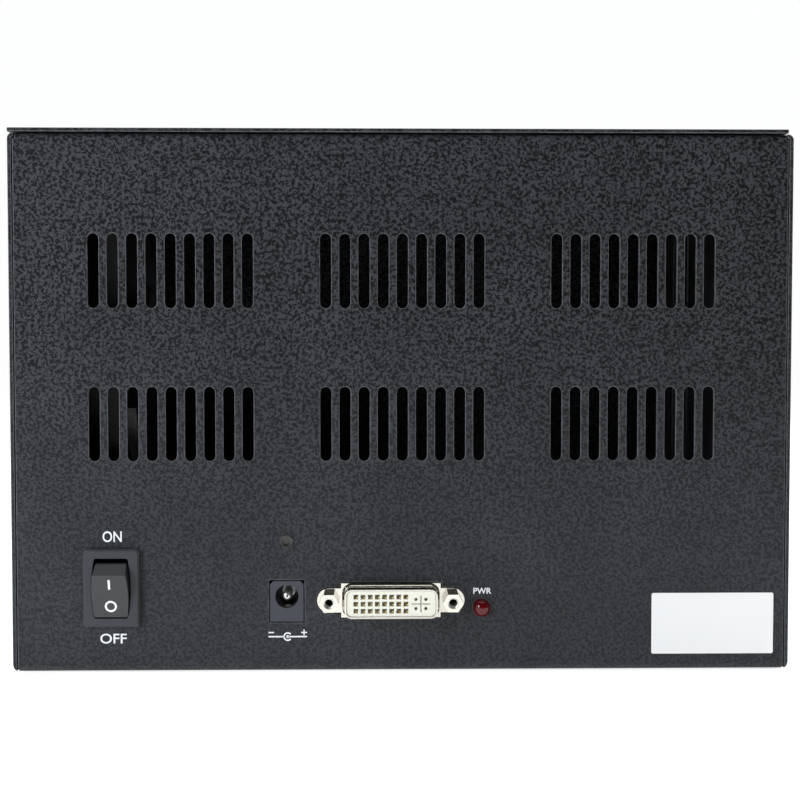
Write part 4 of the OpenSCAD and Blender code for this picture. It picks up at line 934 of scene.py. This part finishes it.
# ---------------------------------------------------------------- floor, light and camera

def stage():
    """A plain pale floor that gives a little light of its own, so that its far edge melts away."""
    half, z = 6.0, -0.0004
    mesh = bpy.data.meshes.new("floor")
    corners = [(-half, -half, z), (half, -half, z), (half, half, z), (-half, half, z)]
    mesh.from_pydata(corners, [], [(0, 1, 2, 3)])
    floor = bpy.data.objects.new("floor", mesh)
    bpy.context.scene.collection.objects.link(floor)
    m = bpy.data.materials.new("pale_floor")
    m.use_nodes = True
    n = Nodes(m.node_tree)
    shader = next(x for x in m.node_tree.nodes if x.type == "BSDF_PRINCIPLED")
    cloud = n.noise(n.new("ShaderNodeTexCoord").outputs["Object"], 0.8, 2.0, 0.5)
    n.join(n.mix(cloud, (0.93, 0.93, 0.93, 1), (0.95, 0.95, 0.95, 1)), shader.inputs["Base Color"])
    shader.inputs["Roughness"].default_value = 0.9
    shader.inputs["Specular IOR Level"].default_value = 0.1
    shader.inputs["Emission Color"].default_value = (1, 1, 1, 1)
    shader.inputs["Emission Strength"].default_value = 0.78
    mesh.materials.append(m)


def area_light(name, place, aim, size, power, tint=(1, 1, 1)):
    """A soft rectangular light, aimed at a point."""
    data = bpy.data.lights.new(name, "AREA")
    data.shape = "RECTANGLE"
    data.size, data.size_y = size
    data.energy = power
    data.color = tint
    obj = bpy.data.objects.new(name, data)
    obj.location = place
    obj.rotation_euler = (Vector(aim) - Vector(place)).to_track_quat("-Z", "Y").to_euler()
    bpy.context.scene.collection.objects.link(obj)


def light_scene():
    """Three soft lights in a dim room with a dark patch ahead and high; the camera sees it as white."""
    world = bpy.data.worlds.new("studio")
    bpy.context.scene.world = world
    world.use_nodes = True
    n = Nodes(world.node_tree)
    back = world.node_tree.nodes["Background"]
    way = n.new("ShaderNodeSeparateXYZ")
    n.join(n.new("ShaderNodeTexCoord").outputs["Generated"], way.inputs[0])
    ahead = n.range(way.outputs["Y"], 0.1, -0.35)
    high = n.range(way.outputs["Z"], 0.0, 0.22)
    room = n.range(n.math("MULTIPLY", ahead, high), 0, 1, 0.34, 0.03, smooth=False)
    seen = n.new("ShaderNodeLightPath").outputs["Is Camera Ray"]
    level = n.math("MAXIMUM", room, seen)
    n.join(level, back.inputs["Strength"])
    back.inputs["Color"].default_value = (0.99, 0.995, 1.0, 1)
    area_light("key_left", (-0.50, -0.50, 0.30), (-0.04, -0.05, 0.07), (0.24, 0.28), 2.9, (0.88, 0.94, 1.0))
    area_light("top_soft", (0.0, 0.1, 0.9), (0, 0, 0), (0.8, 0.6), 4)
    area_light("rear_soft", (0.7, 0.9, 0.6), (0, 0, 0.06), (0.7, 0.5), 5)


def place_camera():
    """The photograph's own view: square on to the panel and a little above its middle."""
    focal_px, photo_px = 1400.0, 800.0
    data = bpy.data.cameras.new("photo_camera")
    data.sensor_width = 36.0
    data.lens = focal_px / photo_px * data.sensor_width
    data.clip_start = 0.01
    cam = bpy.data.objects.new("photo_camera", data)
    cam.location = (-0.0078, -0.435, 0.0896)
    cam.rotation_euler = (math.radians(90 - 2.45), 0.0, math.radians(-1.09))
    bpy.context.scene.collection.objects.link(cam)
    bpy.context.scene.camera = cam
    bpy.context.scene.view_settings.view_transform = "Standard"


place_camera()
light_scene()
stage()

bpy.context.view_layer.update()
